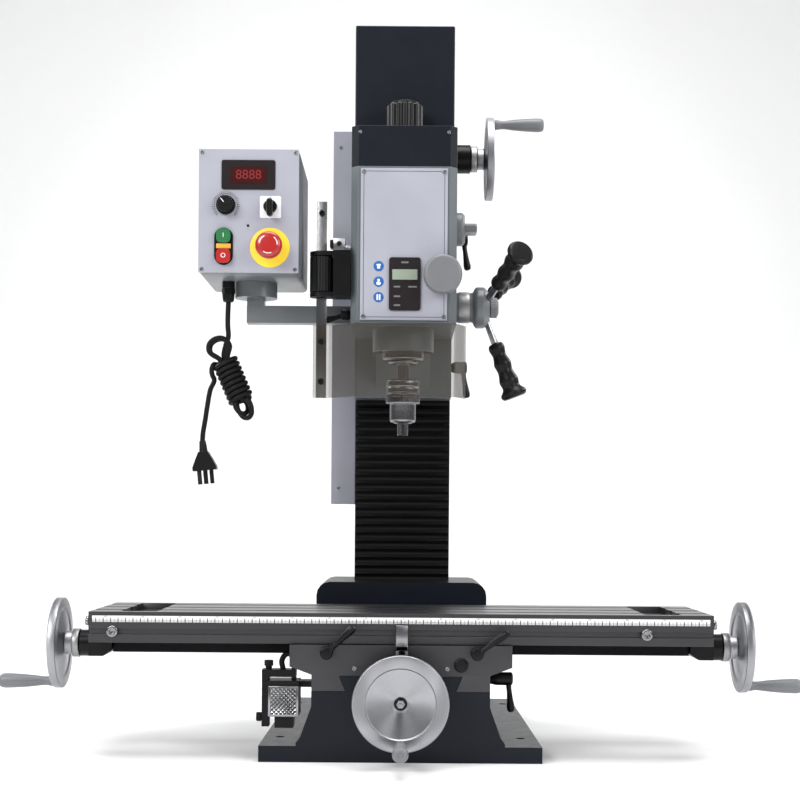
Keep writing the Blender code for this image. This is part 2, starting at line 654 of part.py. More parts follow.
for side, word in ((-1, "left"), (1, "right")):
    near, far = sorted((side * (TABLE_HALF - TROUGH_INSET),
                        side * (TABLE_HALF - TROUGH_INSET - TROUGH_LENGTH)))
    cut(table, block(f"drain_{word}", (near, TABLE_FRONT + 0.014, TABLE_TOP - DRAIN_DEPTH),
                     (far, -TABLE_FRONT - 0.014, TABLE_TOP + 0.01)))
    near, far = sorted((side * (TABLE_HALF - BRACKET_REACH - 0.001), side * (TABLE_HALF + 0.01)))
    cut(table, block(f"way_end_{word}", (near, -BRACKET_HALF - 0.01, X_WAY_FOOT - 0.01),
                     (far, BRACKET_HALF + 0.01, TABLE_BOTTOM)))
    start = side * (TABLE_HALF + GAP)
    bracket_outline = [(start, TABLE_TOP - 0.003), (start + side * BRACKET_PLATE, TABLE_TOP - 0.003),
                       (start + side * BRACKET_PLATE, BRACKET_FOOT),
                       (start - side * (BRACKET_REACH - 0.012), BRACKET_FOOT),
                       (start - side * BRACKET_REACH, BRACKET_FOOT + 0.008),
                       (start - side * BRACKET_REACH, TABLE_BOTTOM - GAP),
                       (start, TABLE_BOTTOM - GAP)]
    bracket = prism(f"end_bracket_{word}", "Y", bracket_outline, -BRACKET_HALF, BRACKET_HALF,
                    "table", BLACK)
    boss_end = BRACKET_PLATE + BRACKET_BOSS_LENGTH
    boss = [(0, 0.002), (BRACKET_BOSS_RADIUS, 0.002), (BRACKET_BOSS_RADIUS, boss_end), (0, boss_end)]
    join(bracket, turned(f"boss_{word}", "X", boss, (start, 0, X_SCREW_Z), direction=side))
    bore_ends = sorted((side * (TABLE_HALF - BRACKET_REACH - 0.01), side * (X_WHEEL_START + 0.01)))
    cut(bracket, rod(f"bracket_bore_{word}", "X", BORE, *bore_ends, (0, 0, X_SCREW_Z)))


# ---------------------------------------------------------------- handwheels
def handwheel(name, axis, centre, direction, body):
    """A dished wheel with a graduated collar behind it and a blind bore for its screw."""
    rim_back = WHEEL_DEPTH - WHEEL_RIM
    outer, inner = WHEEL_RADIUS, WHEEL_RADIUS - WHEEL_RIM_WIDTH
    profile = [(0, WHEEL_SOCKET), (BORE, WHEEL_SOCKET), (BORE, 0), (DIAL_RADIUS, 0),
               (DIAL_RADIUS, DIAL_LENGTH), (DIAL_RADIUS - 0.005, DIAL_LENGTH + 0.0015),
               (DIAL_RADIUS - 0.003, rim_back - 0.001), (inner - 0.003, rim_back + 0.002),
               (inner, rim_back), (outer, rim_back),
               (outer, WHEEL_DEPTH - 0.003), (outer - 0.003, WHEEL_DEPTH), (inner - 0.005, WHEEL_DEPTH),
               (inner - 0.008, WHEEL_DEPTH - 0.004), (0.016, WHEEL_DEPTH - 0.008),
               (0.009, WHEEL_DEPTH - 0.008), (0.009, WHEEL_DEPTH - 0.003), (0, WHEEL_DEPTH - 0.003)]
    return turned(name, axis, profile, centre, body, ALUMINIUM, 26, direction=direction)


def wheel_grip(name, axis, centre, direction, body):
    """A crank handle that stands out from a wheel's rim and turns on its own bolt."""
    joint_frame(body, centre, {"x": "x_screw", "y": "y_screw", "z": "z_crank"}[name[0]])
    profile = [(0, GAP), (0.006, GAP), (0.0075, 0.004), (0.0065, 0.014), (0.008, 0.030),
               (GRIP_RADIUS, GRIP_LENGTH - 0.008), (GRIP_RADIUS - 0.002, GRIP_LENGTH), (0, GRIP_LENGTH)]
    return turned(name, axis, profile, centre, body, GREY, 14, direction=direction)


screw_end = X_WHEEL_START + WHEEL_SOCKET - 0.001
rod("x_leadscrew", "X", SCREW_RADIUS, -screw_end, screw_end, (0, 0, X_SCREW_Z), "x_screw", STEEL)
for side, word in ((-1, "left"), (1, "right")):
    handwheel(f"x_wheel_{word}", "X", (side * X_WHEEL_START, 0, X_SCREW_Z), side, "x_screw")
    wheel_grip(f"x_handle_{word}", "X",
               (side * (X_WHEEL_START + WHEEL_DEPTH), 0, X_SCREW_Z - GRIP_CIRCLE), side,
               f"x_grip_{word}")
rod("y_leadscrew", "Y", SCREW_RADIUS, Y_WHEEL_START - WHEEL_SOCKET + 0.001, TROUGH_BACK - 0.002,
    y_spot, "y_screw", STEEL)
handwheel("y_wheel", "Y", (0, Y_WHEEL_START, Y_SCREW_Z), -1, "y_screw")
wheel_grip("y_handle", "Y", (0, Y_WHEEL_START - WHEEL_DEPTH, Y_SCREW_Z - GRIP_CIRCLE), -1, "y_grip")
crank = handwheel("z_crank_wheel", "X", (Z_WHEEL_START, Z_SCREW_Y, CRANK_Z), 1, "z_crank")
shaft_start = 0.0125
crank_gear = turned("crank_gear", "X",
                    [(0, shaft_start), (0.012, shaft_start), (0.020, shaft_start + 0.008),
                     (0.020, shaft_start + 0.012), (SCREW_RADIUS, shaft_start + 0.014),
                     (SCREW_RADIUS, Z_WHEEL_START + WHEEL_SOCKET + 0.003),
                     (0, Z_WHEEL_START + WHEEL_SOCKET + 0.003)],
                    (0, Z_SCREW_Y, CRANK_Z))
join(crank, crank_gear)
wheel_grip("z_handle", "X", (Z_WHEEL_START + WHEEL_DEPTH, Z_SCREW_Y, CRANK_Z + GRIP_CIRCLE), 1, "z_grip")
gear_foot = CRANK_Z - 0.0245
turned("z_leadscrew", "Z",
       [(0, HOLLOW_FLOOR + 0.001), (SCREW_RADIUS, HOLLOW_FLOOR + 0.001), (SCREW_RADIUS, gear_foot - 0.004),
        (0.020, gear_foot - 0.004), (0.020, gear_foot), (0.012, gear_foot + 0.008), (0, gear_foot + 0.008)],
       (0, Z_SCREW_Y, 0), "z_screw", STEEL, 20)

# ---------------------------------------------------------------- head
head_outline = mirrored([(HEAD_HALF - HEAD_CHAMFER, HEAD_FRONT), (HEAD_HALF, HEAD_FRONT + HEAD_CHAMFER),
                         (HEAD_HALF, HEAD_BACK)])
head = prism("head_casting", "Z", head_outline, HEAD_FOOT, HEAD_TOP, "head", HEAD_GREY)
gusset = prism("gusset", "X", [(GUSSET_FRONT, HEAD_FOOT + 0.004), (CARRIAGE_FRONT + 0.01, CARRIAGE_FOOT + 0.004),
                               (CARRIAGE_FRONT + 0.01, HEAD_FOOT + 0.004)], -GUSSET_HALF, GUSSET_HALF)
join(head,
     block("carriage", (-HEAD_HALF + GAP, CARRIAGE_FRONT, CARRIAGE_FOOT),
           (HEAD_HALF - GAP, COLUMN_FACE - GAP, CARRIAGE_TOP)),
     gusset,
     rod("spindle_boss", "Z", SPINDLE_BOSS_RADIUS, SPINDLE_BOSS_FOOT, HEAD_FOOT + 0.004, (0, 0, 0),
         segments=28))
z_slope = (Z_WAY_FRONT_HALF - Z_WAY_NECK_HALF) / (COLUMN_FACE - Z_WAY_FRONT)
groove_front, groove_back = Z_WAY_FRONT - GAP, COLUMN_FACE + 0.001
cut(head,
    prism("z_groove", "Z",
          mirrored([(Z_WAY_FRONT_HALF + z_slope * GAP + RUN, groove_front),
                    (Z_WAY_NECK_HALF - z_slope * 0.001 + RUN, groove_back)]),
          CARRIAGE_FOOT - 0.01, HEAD_TOP + 0.01),
    rod("quill_bore", "Z", QUILL_RADIUS + RUN, SPINDLE_BOSS_FOOT - 0.01, QUILL_TOP + 0.008, (0, 0, 0),
        segments=28),
    rod("spindle_way", "Z", QUILL_BORE + RUN, QUILL_TOP, HEAD_TOP + 0.01, (0, 0, 0)),
    block("head_hollow", (-HEAD_HOLLOW_HALF, HEAD_HOLLOW_FRONT, HEAD_HOLLOW_FLOOR),
          (HEAD_HOLLOW_HALF, HEAD_HOLLOW_BACK, HEAD_TOP + 0.01)),
    rod("feed_bore", "X", FEED_SHAFT_RADIUS + RUN, -0.022, HEAD_HALF + 0.01, (0, FEED_Y, FEED_Z)))
join(head, block("z_nut", (-0.0130, groove_front - 0.004, 0.640), (0.0130, Z_SCREW_Y + 0.014, 0.680)))
cut(head, rod("z_nut_bore", "Z", BORE, 0.63, 0.69, (0, Z_SCREW_Y, 0)))

panel_foot = (HEAD_FOOT + HEAD_TOP - PANEL_HEIGHT) / 2
block("head_front_panel", (-PANEL_WIDTH / 2, PANEL_FRONT, panel_foot),
      (PANEL_WIDTH / 2, HEAD_FRONT - GAP, panel_foot + PANEL_HEIGHT), "head", PALE)


def inset(outline, wall):
    """Moves an outline's points in towards its middle by about a wall."""
    centre_v = (min(v for _, v in outline) + max(v for _, v in outline)) / 2
    return [(u - math.copysign(wall, u), v - math.copysign(wall, v - centre_v)) for u, v in outline]


cover_outline = mirrored([(HEAD_HALF - HEAD_CHAMFER, HEAD_FRONT), (HEAD_HALF, HEAD_FRONT + HEAD_CHAMFER),
                          (HEAD_HALF, MOTOR_COVER_BACK)])
cover = prism("gearbox_cover", "Z", cover_outline, HEAD_TOP + GAP, COVER_TOP, "head", NAVY)
cut(cover,
    prism("cover_inside", "Z", inset(cover_outline, COVER_WALL), HEAD_TOP - 0.01, COVER_TOP - COVER_WALL),
    rod("drawbar_hole", "Z", DRAWBAR_RADIUS + 0.003, COVER_TOP - 0.02, COVER_TOP + 0.01, (0, 0, 0)))
motor_cover = block("motor_cover", (-MOTOR_COVER_HALF, MOTOR_COVER_FRONT, MOTOR_COVER_FOOT),
                    (MOTOR_COVER_HALF, MOTOR_COVER_BACK, MOTOR_COVER_FOOT + MOTOR_COVER_HEIGHT), "head", NAVY)
cut(motor_cover, block("motor_space",
                       (COVER_WALL - MOTOR_COVER_HALF, MOTOR_COVER_FRONT + COVER_WALL, MOTOR_COVER_FOOT - 0.01),
                       (MOTOR_COVER_HALF - COVER_WALL, MOTOR_COVER_BACK - COVER_WALL,
                        MOTOR_COVER_FOOT + MOTOR_COVER_HEIGHT - COVER_WALL)))
turned("spindle_motor", "Z",
       [(0, 0), (MOTOR_RADIUS, 0), (MOTOR_RADIUS, MOTOR_LENGTH - 0.012),
        (MOTOR_RADIUS - 0.014, MOTOR_LENGTH), (0, MOTOR_LENGTH)],
       (0, MOTOR_Y, COVER_TOP + GAP), "head", STEEL, 24)
cap_outline = []
for i in range(4 * CAP_RIBS):
    turn = math.tau * i / (4 * CAP_RIBS)
    radius = CAP_RADIUS if i % 4 < 2 else CAP_RADIUS - 0.0018
    cap_outline.append((radius * math.cos(turn), radius * math.sin(turn)))
prism("drawbar_cap", "Z", cap_outline, COVER_TOP + GAP, COVER_TOP + GAP + CAP_HEIGHT, "head", BLACK)

# ---------------------------------------------------------------- quill and spindle
turned("quill", "Z",
       [(QUILL_BORE, QUILL_FOOT), (QUILL_RADIUS - 0.002, QUILL_FOOT), (QUILL_RADIUS, QUILL_FOOT + 0.002),
        (QUILL_RADIUS, QUILL_TOP), (QUILL_BORE, QUILL_TOP)], (0, 0, 0), "quill", STEEL, 28)
shaft = QUILL_BORE - RUN
arbor_tip = CHUCK_TOP - 0.016
turned("spindle", "Z",
       [(0, arbor_tip), (ARBOR_RADIUS, arbor_tip), (ARBOR_RADIUS, NOSE_FOOT), (NOSE_RADIUS, NOSE_FOOT),
        (NOSE_RADIUS, QUILL_FOOT - GAP), (shaft, QUILL_FOOT - GAP), (shaft, QUILL_TOP + 0.003),
        (DRAWBAR_RADIUS, QUILL_TOP + 0.003), (DRAWBAR_RADIUS, DRAWBAR_TOP), (0, DRAWBAR_TOP)],
       (0, 0, 0), "spindle", STEEL, 24)
core, mouth = CHUCK_CORE_RADIUS, JAW_MOUTH_RADIUS
arbor_seat = ARBOR_RADIUS + GAP
turned("chuck_body", "Z",
       [(0, arbor_tip - GAP), (arbor_seat, arbor_tip - GAP), (arbor_seat, CHUCK_TOP),
        (CHUCK_RADIUS - 0.003, CHUCK_TOP), (CHUCK_RADIUS, CHUCK_TOP - 0.003), (CHUCK_RADIUS, SLEEVE_TOP + GAP),
        (core, SLEEVE_TOP + GAP), (core, SLEEVE_FOOT), (JAW_TIP_RADIUS, JAW_TIP), (mouth, JAW_TIP),
        (mouth, SLEEVE_FOOT + 0.014), (0, SLEEVE_FOOT + 0.018)], (0, 0, 0), "spindle", STEEL, 24)
inside = CHUCK_CORE_RADIUS + RUN
turned("chuck_sleeve", "Z",
       [(inside, SLEEVE_FOOT), (SLEEVE_RADIUS - 0.002, SLEEVE_FOOT), (SLEEVE_RADIUS, SLEEVE_FOOT + 0.003),
        (SLEEVE_RADIUS, SLEEVE_STEP), (SLEEVE_RING_RADIUS, SLEEVE_STEP + 0.002),
        (SLEEVE_RING_RADIUS, SLEEVE_TOP), (inside, SLEEVE_TOP)], (0, 0, 0), "sleeve", STEEL, 24)

# ---------------------------------------------------------------- down feed
feed_spot = (0, FEED_Y, FEED_Z)
flange_start = FEED_BARREL_END
hub = turned("feed_hub", "X",
             [(0, -0.020), (FEED_SHAFT_RADIUS, -0.020), (FEED_SHAFT_RADIUS, HEAD_SIDE),
              (FEED_BARREL_RADIUS, HEAD_SIDE), (FEED_BARREL_RADIUS, FEED_BARREL_END),
              (FEED_FLANGE_RADIUS, FEED_BARREL_END + 0.003), (FEED_FLANGE_RADIUS, FEED_FLANGE_END - 0.008),
              (FEED_FLANGE_RADIUS - 0.009, FEED_FLANGE_END), (0, FEED_FLANGE_END)],
             feed_spot, "feed", HEAD_GREY, 24)
spoke_root = Vector(((FEED_BARREL_END + FEED_FLANGE_END) / 2, FEED_Y, FEED_Z))


def aimed(name, profile, start, direction, body, coat, segments):
    """A turned piece whose axis runs from start along a direction."""
    bm = bmesh.new()
    rings = []
    turn_to = Vector(direction).to_track_quat("Z", "Y").to_matrix()
    for radius, along in profile:
        count = 1 if radius == 0 else segments
        ring = []
        for i in range(count):
            turn = math.tau * (i + 0.5) / segments
            local = Vector((radius * math.cos(turn), radius * math.sin(turn), along))
            ring.append(bm.verts.new(Vector(start) + turn_to @ local))
        rings.append(ring)
    for low, high in zip(rings, rings[1:]):
        for i in range(segments):
            j = (i + 1) % segments
            if len(low) == 1:
                bm.faces.new((low[0], high[j], high[i]))
            elif len(high) == 1:
                bm.faces.new((low[i], low[j], high[0]))
            else:
                bm.faces.new((low[i], low[j], high[j], high[i]))
    return finish(name, bm, body, coat, smooth=True)


grip_profile = [(0, FEED_GRIP_START), (0.010, FEED_GRIP_START), (0.012, FEED_GRIP_START + 0.008),
                (0.0095, FEED_GRIP_START + 0.018), (0.013, FEED_GRIP_START + 0.030),
                (0.0105, FEED_GRIP_START + 0.042), (0.0145, FEED_GRIP_START + 0.056),
                (0.0120, FEED_REACH - 0.016), (0.0190, FEED_REACH - 0.008), (0.0190, FEED_REACH - 0.003),
                (0.0160, FEED_REACH), (0, FEED_REACH)]
for number, turn in enumerate((-90, 30, 150), 1):
    angle = math.radians(turn)
    aim = (math.sin(FEED_TILT), math.cos(FEED_TILT) * math.cos(angle), math.cos(FEED_TILT) * math.sin(angle))
    join(hub, aimed(f"spoke_{number}",
                    [(0, 0.012), (FEED_ROD_RADIUS, 0.012), (FEED_ROD_RADIUS, FEED_GRIP_START - GAP),
                     (0, FEED_GRIP_START - GAP)], spoke_root, aim, None, None, 12))
    aimed(f"feed_grip_{number}", grip_profile, spoke_root, aim, "feed", BLACK, 14)
joint_frame("clutch", feed_spot, "feed")
turned("feed_clutch_knob", "X",
       [(0, 0), (CLUTCH_RADIUS - 0.002, 0), (CLUTCH_RADIUS, 0.002), (CLUTCH_RADIUS, CLUTCH_LENGTH - 0.003),
        (CLUTCH_RADIUS - 0.003, CLUTCH_LENGTH), (0, CLUTCH_LENGTH)],
       (FEED_FLANGE_END + GAP, FEED_Y, FEED_Z), "clutch", GREY, 20)
joint_frame("fine_feed", (FINE_KNOB_X, PANEL_FRONT, FINE_KNOB_Z), "head")
turned("fine_feed_knob", "Y",
       [(0, GAP), (FINE_KNOB_RADIUS - 0.004, GAP), (FINE_KNOB_RADIUS - 0.004, 0.010), (FINE_KNOB_RADIUS, 0.012),
        (FINE_KNOB_RADIUS, FINE_KNOB_LENGTH - 0.004), (FINE_KNOB_RADIUS - 0.004, FINE_KNOB_LENGTH),
        (0, FINE_KNOB_LENGTH)],
       (FINE_KNOB_X, PANEL_FRONT, FINE_KNOB_Z), "fine_feed", GREY, 28, direction=-1)
joint_frame("gear_selector", (HEAD_SIDE, SELECTOR_Y, SELECTOR_Z), "head")
selector = turned("gear_selector", "X",
                  [(0, 0), (SELECTOR_RADIUS, 0), (SELECTOR_RADIUS, 0.010), (SELECTOR_RADIUS - 0.004, 0.014),
                   (0, 0.014)], (HEAD_SIDE, SELECTOR_Y, SELECTOR_Z), "gear_selector", BLACK, 24)
join(selector, block("selector_grip",
                     (HEAD_SIDE + 0.012, SELECTOR_Y - 0.006, SELECTOR_Z - SELECTOR_RADIUS + 0.003),
                     (HEAD_SIDE + SELECTOR_LENGTH, SELECTOR_Y + 0.006, SELECTOR_Z + SELECTOR_RADIUS - 0.003)))


# ---------------------------------------------------------------- clamp levers
def clamp(name, axis, sign, seat, hub_length, hub_radius, aim, length, under):
    """A hub on a stud with a tapered handle; sign is the side on which the hub stands out."""
    joint_frame(name, seat, under)
    piece = turned(name, axis, [(0, 0), (hub_radius, 0), (hub_radius, hub_length), (0, hub_length)],
                   seat, name, BLACK, 14, direction=sign)
    root = Vector(seat)
    root["XYZ".index(axis)] += sign * (hub_length - hub_radius * 0.75)
    return join(piece, aimed(f"{name}_handle",
                             [(0, 0), (0.0035, 0), (0.0035, length * 0.4), (0.0050, length * 0.9),
                              (0.0035, length), (0, length)], root, aim, None, None, 10))


saddle_front = -SADDLE_DEPTH / 2 - GAP
for word, x, lean in (("left", -0.099, 44), ("right", 0.1015, 36)):
    angle = math.radians(lean)
    clamp(f"x_clamp_{word}", "Y", -1, (x, saddle_front, 0.147), 0.018, 0.0085,
          (math.cos(angle), -0.15, math.sin(angle)), 0.052, "saddle")
clamp("y_clamp", "X", 1, (SADDLE_LEG_HALF + GAP, -0.060, 0.108), 0.034, 0.009, (0.10, 0, -1), 0.046, "saddle")
clamp("z_clamp_upper", "X", 1, (HEAD_SIDE, 0.150, 0.745), 0.024, 0.009, (0.15, 0, -1), 0.046, "head")
clamp("z_clamp_lower", "X", 1, (HEAD_SIDE, 0.150, 0.553), 0.024, 0.009, (0.15, 0, -1), 0.046, "head")
clamp("quill_clamp", "X", -1, (-HEAD_SIDE, -0.046, 0.607), 0.014, 0.008, (-1, 0, -0.28), 0.030, "head")

# ---------------------------------------------------------------- chip guard
axis_spot = (GUARD_AXIS_X, GUARD_AXIS_Y, 0)
hinge_right = -HEAD_SIDE
block_left = GUARD_AXIS_X + GUARD_COLLAR_RADIUS + RUN
hinge = block("guard_hinge_block", (block_left, -0.090, HINGE_FOOT), (hinge_right, -0.052, HINGE_TOP),
              "head", BLACK)
for word, low in (("lower", HINGE_FOOT), ("upper", HINGE_TOP - HINGE_PLATE)):
    plate_outline = round_bar([(GUARD_AXIS_X - GUARD_COLLAR_RADIUS, GUARD_AXIS_Y), (block_left + 0.020, GUARD_AXIS_Y)],
                              GUARD_COLLAR_RADIUS)
    low_side = low + (GAP if word == "lower" else 0)
    join(hinge, prism(f"hinge_plate_{word}", "Z", plate_outline, low_side, low_side + HINGE_PLATE - GAP))
bar_reach = math.hypot(GUARD_BAR_WIDTH, GUARD_BAR_THICKNESS) / 2 + RUN
cut(hinge, rod("hinge_eye", "Z", bar_reach, HINGE_FOOT - 0.01, HINGE_TOP + 0.01, axis_spot))
bar = block("guard_bar",
            (GUARD_AXIS_X - GUARD_BAR_WIDTH / 2, GUARD_AXIS_Y - GUARD_BAR_THICKNESS / 2, GUARD_BAR_FOOT),
            (GUARD_AXIS_X + GUARD_BAR_WIDTH / 2, GUARD_AXIS_Y + GUARD_BAR_THICKNESS / 2, GUARD_BAR_TOP),
            "guard", STEEL)
join(bar, rod("guard_collar", "Z", GUARD_COLLAR_RADIUS, HINGE_FOOT + HINGE_PLATE + RUN,
              HINGE_TOP - HINGE_PLATE - RUN, axis_spot, segments=24))
strip_y = GUARD_AXIS_Y - GUARD_BAR_THICKNESS / 2 - GAP - GUARD_SHEET / 2
guard_line = [(-0.123, strip_y), (-0.101, strip_y), (-0.062, -0.105), (0.069, -0.105), (0.084, -0.074)]
prism("guard_shield", "Z", bent_strip(guard_line, GUARD_SHEET), GUARD_FOOT, GUARD_TOP, "guard", SMOKE)

# ---------------------------------------------------------------- control box
arm_half = ARM_SIZE / 2
arm = block("control_arm", (SWIVEL_X - arm_half, SWIVEL_Y - arm_half, ARM_FOOT),
            (-HEAD_SIDE, SWIVEL_Y + arm_half, ARM_FOOT + ARM_SIZE), "head", GREY)
join(arm,
     block("arm_post", (SWIVEL_X - arm_half + GAP, SWIVEL_Y - arm_half + GAP, ARM_FOOT + 0.002),
           (SWIVEL_X + arm_half, SWIVEL_Y + arm_half - GAP, BOX_FOOT - SWIVEL_HEIGHT + 0.002)),
     rod("swivel_flange", "Z", SWIVEL_RADIUS, BOX_FOOT - SWIVEL_HEIGHT, BOX_FOOT - GAP,
         (SWIVEL_X, SWIVEL_Y, 0), segments=24))
shell = block("control_box", (BOX_LEFT, BOX_FRONT, BOX_FOOT), (BOX_RIGHT, BOX_BACK, BOX_TOP), "control", HEAD_GREY)
soften = shell.modifiers.new("round_edges", "BEVEL")
soften.width = 0.006
soften.segments = 2
cut(shell, block("box_inside", (BOX_LEFT + BOX_WALL, BOX_FRONT - 0.01, BOX_FOOT + BOX_WALL),
                 (BOX_RIGHT - BOX_WALL, BOX_BACK - BOX_WALL, BOX_TOP - BOX_WALL)))
lid = block("control_lid", (BOX_LEFT + 0.001, LID_FRONT, BOX_FOOT + 0.001), (BOX_RIGHT - 0.001, LID_BACK, BOX_TOP - 0.001),
            "control", PALE)
controls = (("speed", SPEED_X, SPEED_Z, KNOB_STEM), ("switch", SWITCH_X, SWITCH_Z, KNOB_STEM),
            ("start", PUSH_X, START_Z, PUSH_RADIUS), ("stop", PUSH_X, STOP_Z, PUSH_RADIUS),
            ("estop", ESTOP_X, ESTOP_Z, ESTOP_STEM))
for word, x, z, radius in controls:
    cut(lid, rod(f"{word}_hole", "Y", radius + RUN, LID_FRONT - 0.01, LID_BACK + 0.01, (x, 0, z), segments=16))
    joint_frame(word, (x, LID_FRONT, z), "control")
stem_in = -LID_THICKNESS - 0.004
turned("speed_knob", "Y",
       [(0, stem_in), (KNOB_STEM, stem_in), (KNOB_STEM, RUN), (SPEED_RADIUS, RUN), (SPEED_RADIUS, 0.004),
        (SPEED_RADIUS - 0.003, SPEED_LENGTH), (0, SPEED_LENGTH)],
       (SPEED_X, LID_FRONT, SPEED_Z), "speed", BLACK, 20, direction=-1)
switch = turned("direction_switch", "Y",
                [(0, stem_in), (KNOB_STEM, stem_in), (KNOB_STEM, RUN), (SWITCH_RADIUS, RUN),
                 (SWITCH_RADIUS, 0.006), (0, 0.006)],
                (SWITCH_X, LID_FRONT, SWITCH_Z), "switch", BLACK, 16, direction=-1)
join(switch, block("switch_bar", (SWITCH_X - 0.004, LID_FRONT - 0.017, SWITCH_Z - 0.014),
                   (SWITCH_X + 0.004, LID_FRONT - 0.004, SWITCH_Z + 0.009)))
for name, word, z, coat in (("start_button", "start", START_Z, GREEN), ("stop_button", "stop", STOP_Z, RED)):
    turned(name, "Y", [(0, stem_in), (PUSH_RADIUS, stem_in), (PUSH_RADIUS, PUSH_OUT - 0.0015),
                       (PUSH_RADIUS - 0.0015, PUSH_OUT), (0, PUSH_OUT)],
           (PUSH_X, LID_FRONT, z), word, coat, 16, direction=-1)
turned("estop_button", "Y",
       [(0, stem_in), (ESTOP_STEM, stem_in), (ESTOP_STEM, 0.014), (ESTOP_RADIUS, 0.018),
        (ESTOP_RADIUS, ESTOP_OUT - 0.005), (ESTOP_RADIUS - 0.006, ESTOP_OUT), (0, ESTOP_OUT)],
       (ESTOP_X, LID_FRONT, ESTOP_Z), "estop", RED, 24, direction=-1)

# ---------------------------------------------------------------- mains cord
gland_foot = BOX_FOOT - GAP - GLAND_LENGTH
turned("cable_gland", "Z",
       [(0, gland_foot), (GLAND_RADIUS - 0.0025, gland_foot), (GLAND_RADIUS - 0.0005, gland_foot + 0.010),
        (GLAND_RADIUS, gland_foot + 0.012), (GLAND_RADIUS, BOX_FOOT - GAP), (0, BOX_FOOT - GAP)],
       (GLAND_X, GLAND_Y, 0), "control", BLACK, 16)
tube("cord_lead",
     [(GLAND_X, GLAND_Y, gland_foot - GAP), (-0.2436, GLAND_Y, 0.6080), (-0.2436, GLAND_Y, 0.5920),
      (-0.2428, GLAND_Y, 0.5768)], CORD_RADIUS, "control", RUBBER, 3)
prism("cord_hank", "Y", round_bar([HANK_TOP, HANK_FOOT], HANK_HALF_WIDTH),
      GLAND_Y - HANK_THICKNESS / 2, GLAND_Y + HANK_THICKNESS / 2, "control", RUBBER)
tube("cord_tail",
     [(-0.2618, GLAND_Y, 0.5165), (-0.2672, GLAND_Y, 0.5030), (-0.2712, GLAND_Y, 0.4805),
      (-0.2740, GLAND_Y, 0.4610), (-0.2768, GLAND_Y, 0.4440), (PLUG_TOP[0] + 0.0002, GLAND_Y, PLUG_TOP[1] + CORD_END)],
     CORD_RADIUS, "control", RUBBER, 3)
plug_outline = mirrored([(PLUG_HALF_WIDTH, -0.0410), (PLUG_HALF_WIDTH, -0.0360), (0.0110, -0.0240),
                         (0.0065, -0.0150)])
plug = prism("plug", "Y", plug_outline, -PLUG_THICKNESS / 2, PLUG_THICKNESS / 2, None, BLACK)
relief = turned("plug_relief", "Z", [(0, -0.018), (0.0062, -0.018), (0.0045, 0), (0, 0)], (0, 0, 0),
                segments=14)
relief.parent = plug
join(plug, relief)
for number, (x, tilt) in enumerate(((-0.0085, 30), (0.0085, -30), (0, 0)), 1):
    pin = block(f"plug_pin_{number}", (-0.0031, -0.0009, -0.0600), (0.0031, 0.0009, -0.0400))
    pin.rotation_euler = (0, 0, math.radians(tilt))
    pin.location = (x, 0.0, 0)
    pin.parent = plug
    join(plug, pin)
plug.parent = frames["control"][0]
plug.rotation_euler = (0, PLUG_LEAN, 0)
plug.location = Vector((PLUG_TOP[0], GLAND_Y, PLUG_TOP[1])) - frames["control"][1]
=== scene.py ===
"""Dresses the jointed model of a benchtop milling machine.

Soft edges, finishes, fine detail, the mains cord and a studio stage.
"""

import json
import math
from functools import lru_cache

import bmesh
import bpy
from mathutils import Matrix, Vector

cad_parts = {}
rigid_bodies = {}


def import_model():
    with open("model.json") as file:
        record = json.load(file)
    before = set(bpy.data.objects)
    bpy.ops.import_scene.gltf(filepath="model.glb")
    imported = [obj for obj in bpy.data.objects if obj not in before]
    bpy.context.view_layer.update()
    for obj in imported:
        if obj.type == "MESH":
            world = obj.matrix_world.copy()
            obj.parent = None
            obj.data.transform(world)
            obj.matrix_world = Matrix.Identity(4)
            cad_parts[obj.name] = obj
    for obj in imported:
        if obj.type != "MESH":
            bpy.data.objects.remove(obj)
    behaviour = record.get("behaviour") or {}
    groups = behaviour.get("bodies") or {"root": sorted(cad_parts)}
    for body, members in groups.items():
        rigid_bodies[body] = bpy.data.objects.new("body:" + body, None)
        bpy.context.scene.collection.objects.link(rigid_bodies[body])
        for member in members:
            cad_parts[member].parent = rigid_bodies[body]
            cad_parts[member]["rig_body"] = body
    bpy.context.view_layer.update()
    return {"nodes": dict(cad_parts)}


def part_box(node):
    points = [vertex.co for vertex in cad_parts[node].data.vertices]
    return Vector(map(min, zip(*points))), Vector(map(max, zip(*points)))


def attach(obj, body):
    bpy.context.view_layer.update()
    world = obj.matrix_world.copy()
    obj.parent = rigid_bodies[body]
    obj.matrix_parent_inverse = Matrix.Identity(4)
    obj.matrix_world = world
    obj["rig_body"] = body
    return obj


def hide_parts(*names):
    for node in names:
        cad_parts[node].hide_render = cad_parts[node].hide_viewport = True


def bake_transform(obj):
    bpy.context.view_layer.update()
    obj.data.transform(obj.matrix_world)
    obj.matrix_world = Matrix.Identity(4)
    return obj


bl_info = {
    "name": "Benchtop mill looks",
    "version": (1, 0, 0),
    "blender": (4, 5, 0),
    "location": "3D View > Sidebar > Mill",
    "description": "Dresses the jointed model of a benchtop milling machine for a studio picture",
    "category": "Object",
}

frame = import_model()
NODES = frame["nodes"]
FRONT = Vector((0, -1, 0))
UP = Vector((0, 0, 1))
RIGHT = Vector((1, 0, 0))

# Places that more than one piece shares, in metres: fronts and depths are along Y.
PANEL_FRONT = -0.0873
LID_FRONT = -0.1133
TABLE_FRONT = -0.105
SADDLE_FRONT = -0.1150
FEED_DEPTH, FEED_HEIGHT = 0.040, 0.629
CRANK_DEPTH = 0.240
CRANK_THROW = 0.054
SCREW_RADIUS = 0.0080
CORD_DEPTH = -0.034
# Middles on the control box's lid, as X and Z.
STOP_SPOT = (-0.179, 0.6875)
SPEED_SPOT = (-0.2385, 0.744)
# A finish whose brightest channel is under this gets a weaker mirror gloss.
DARK = 0.05
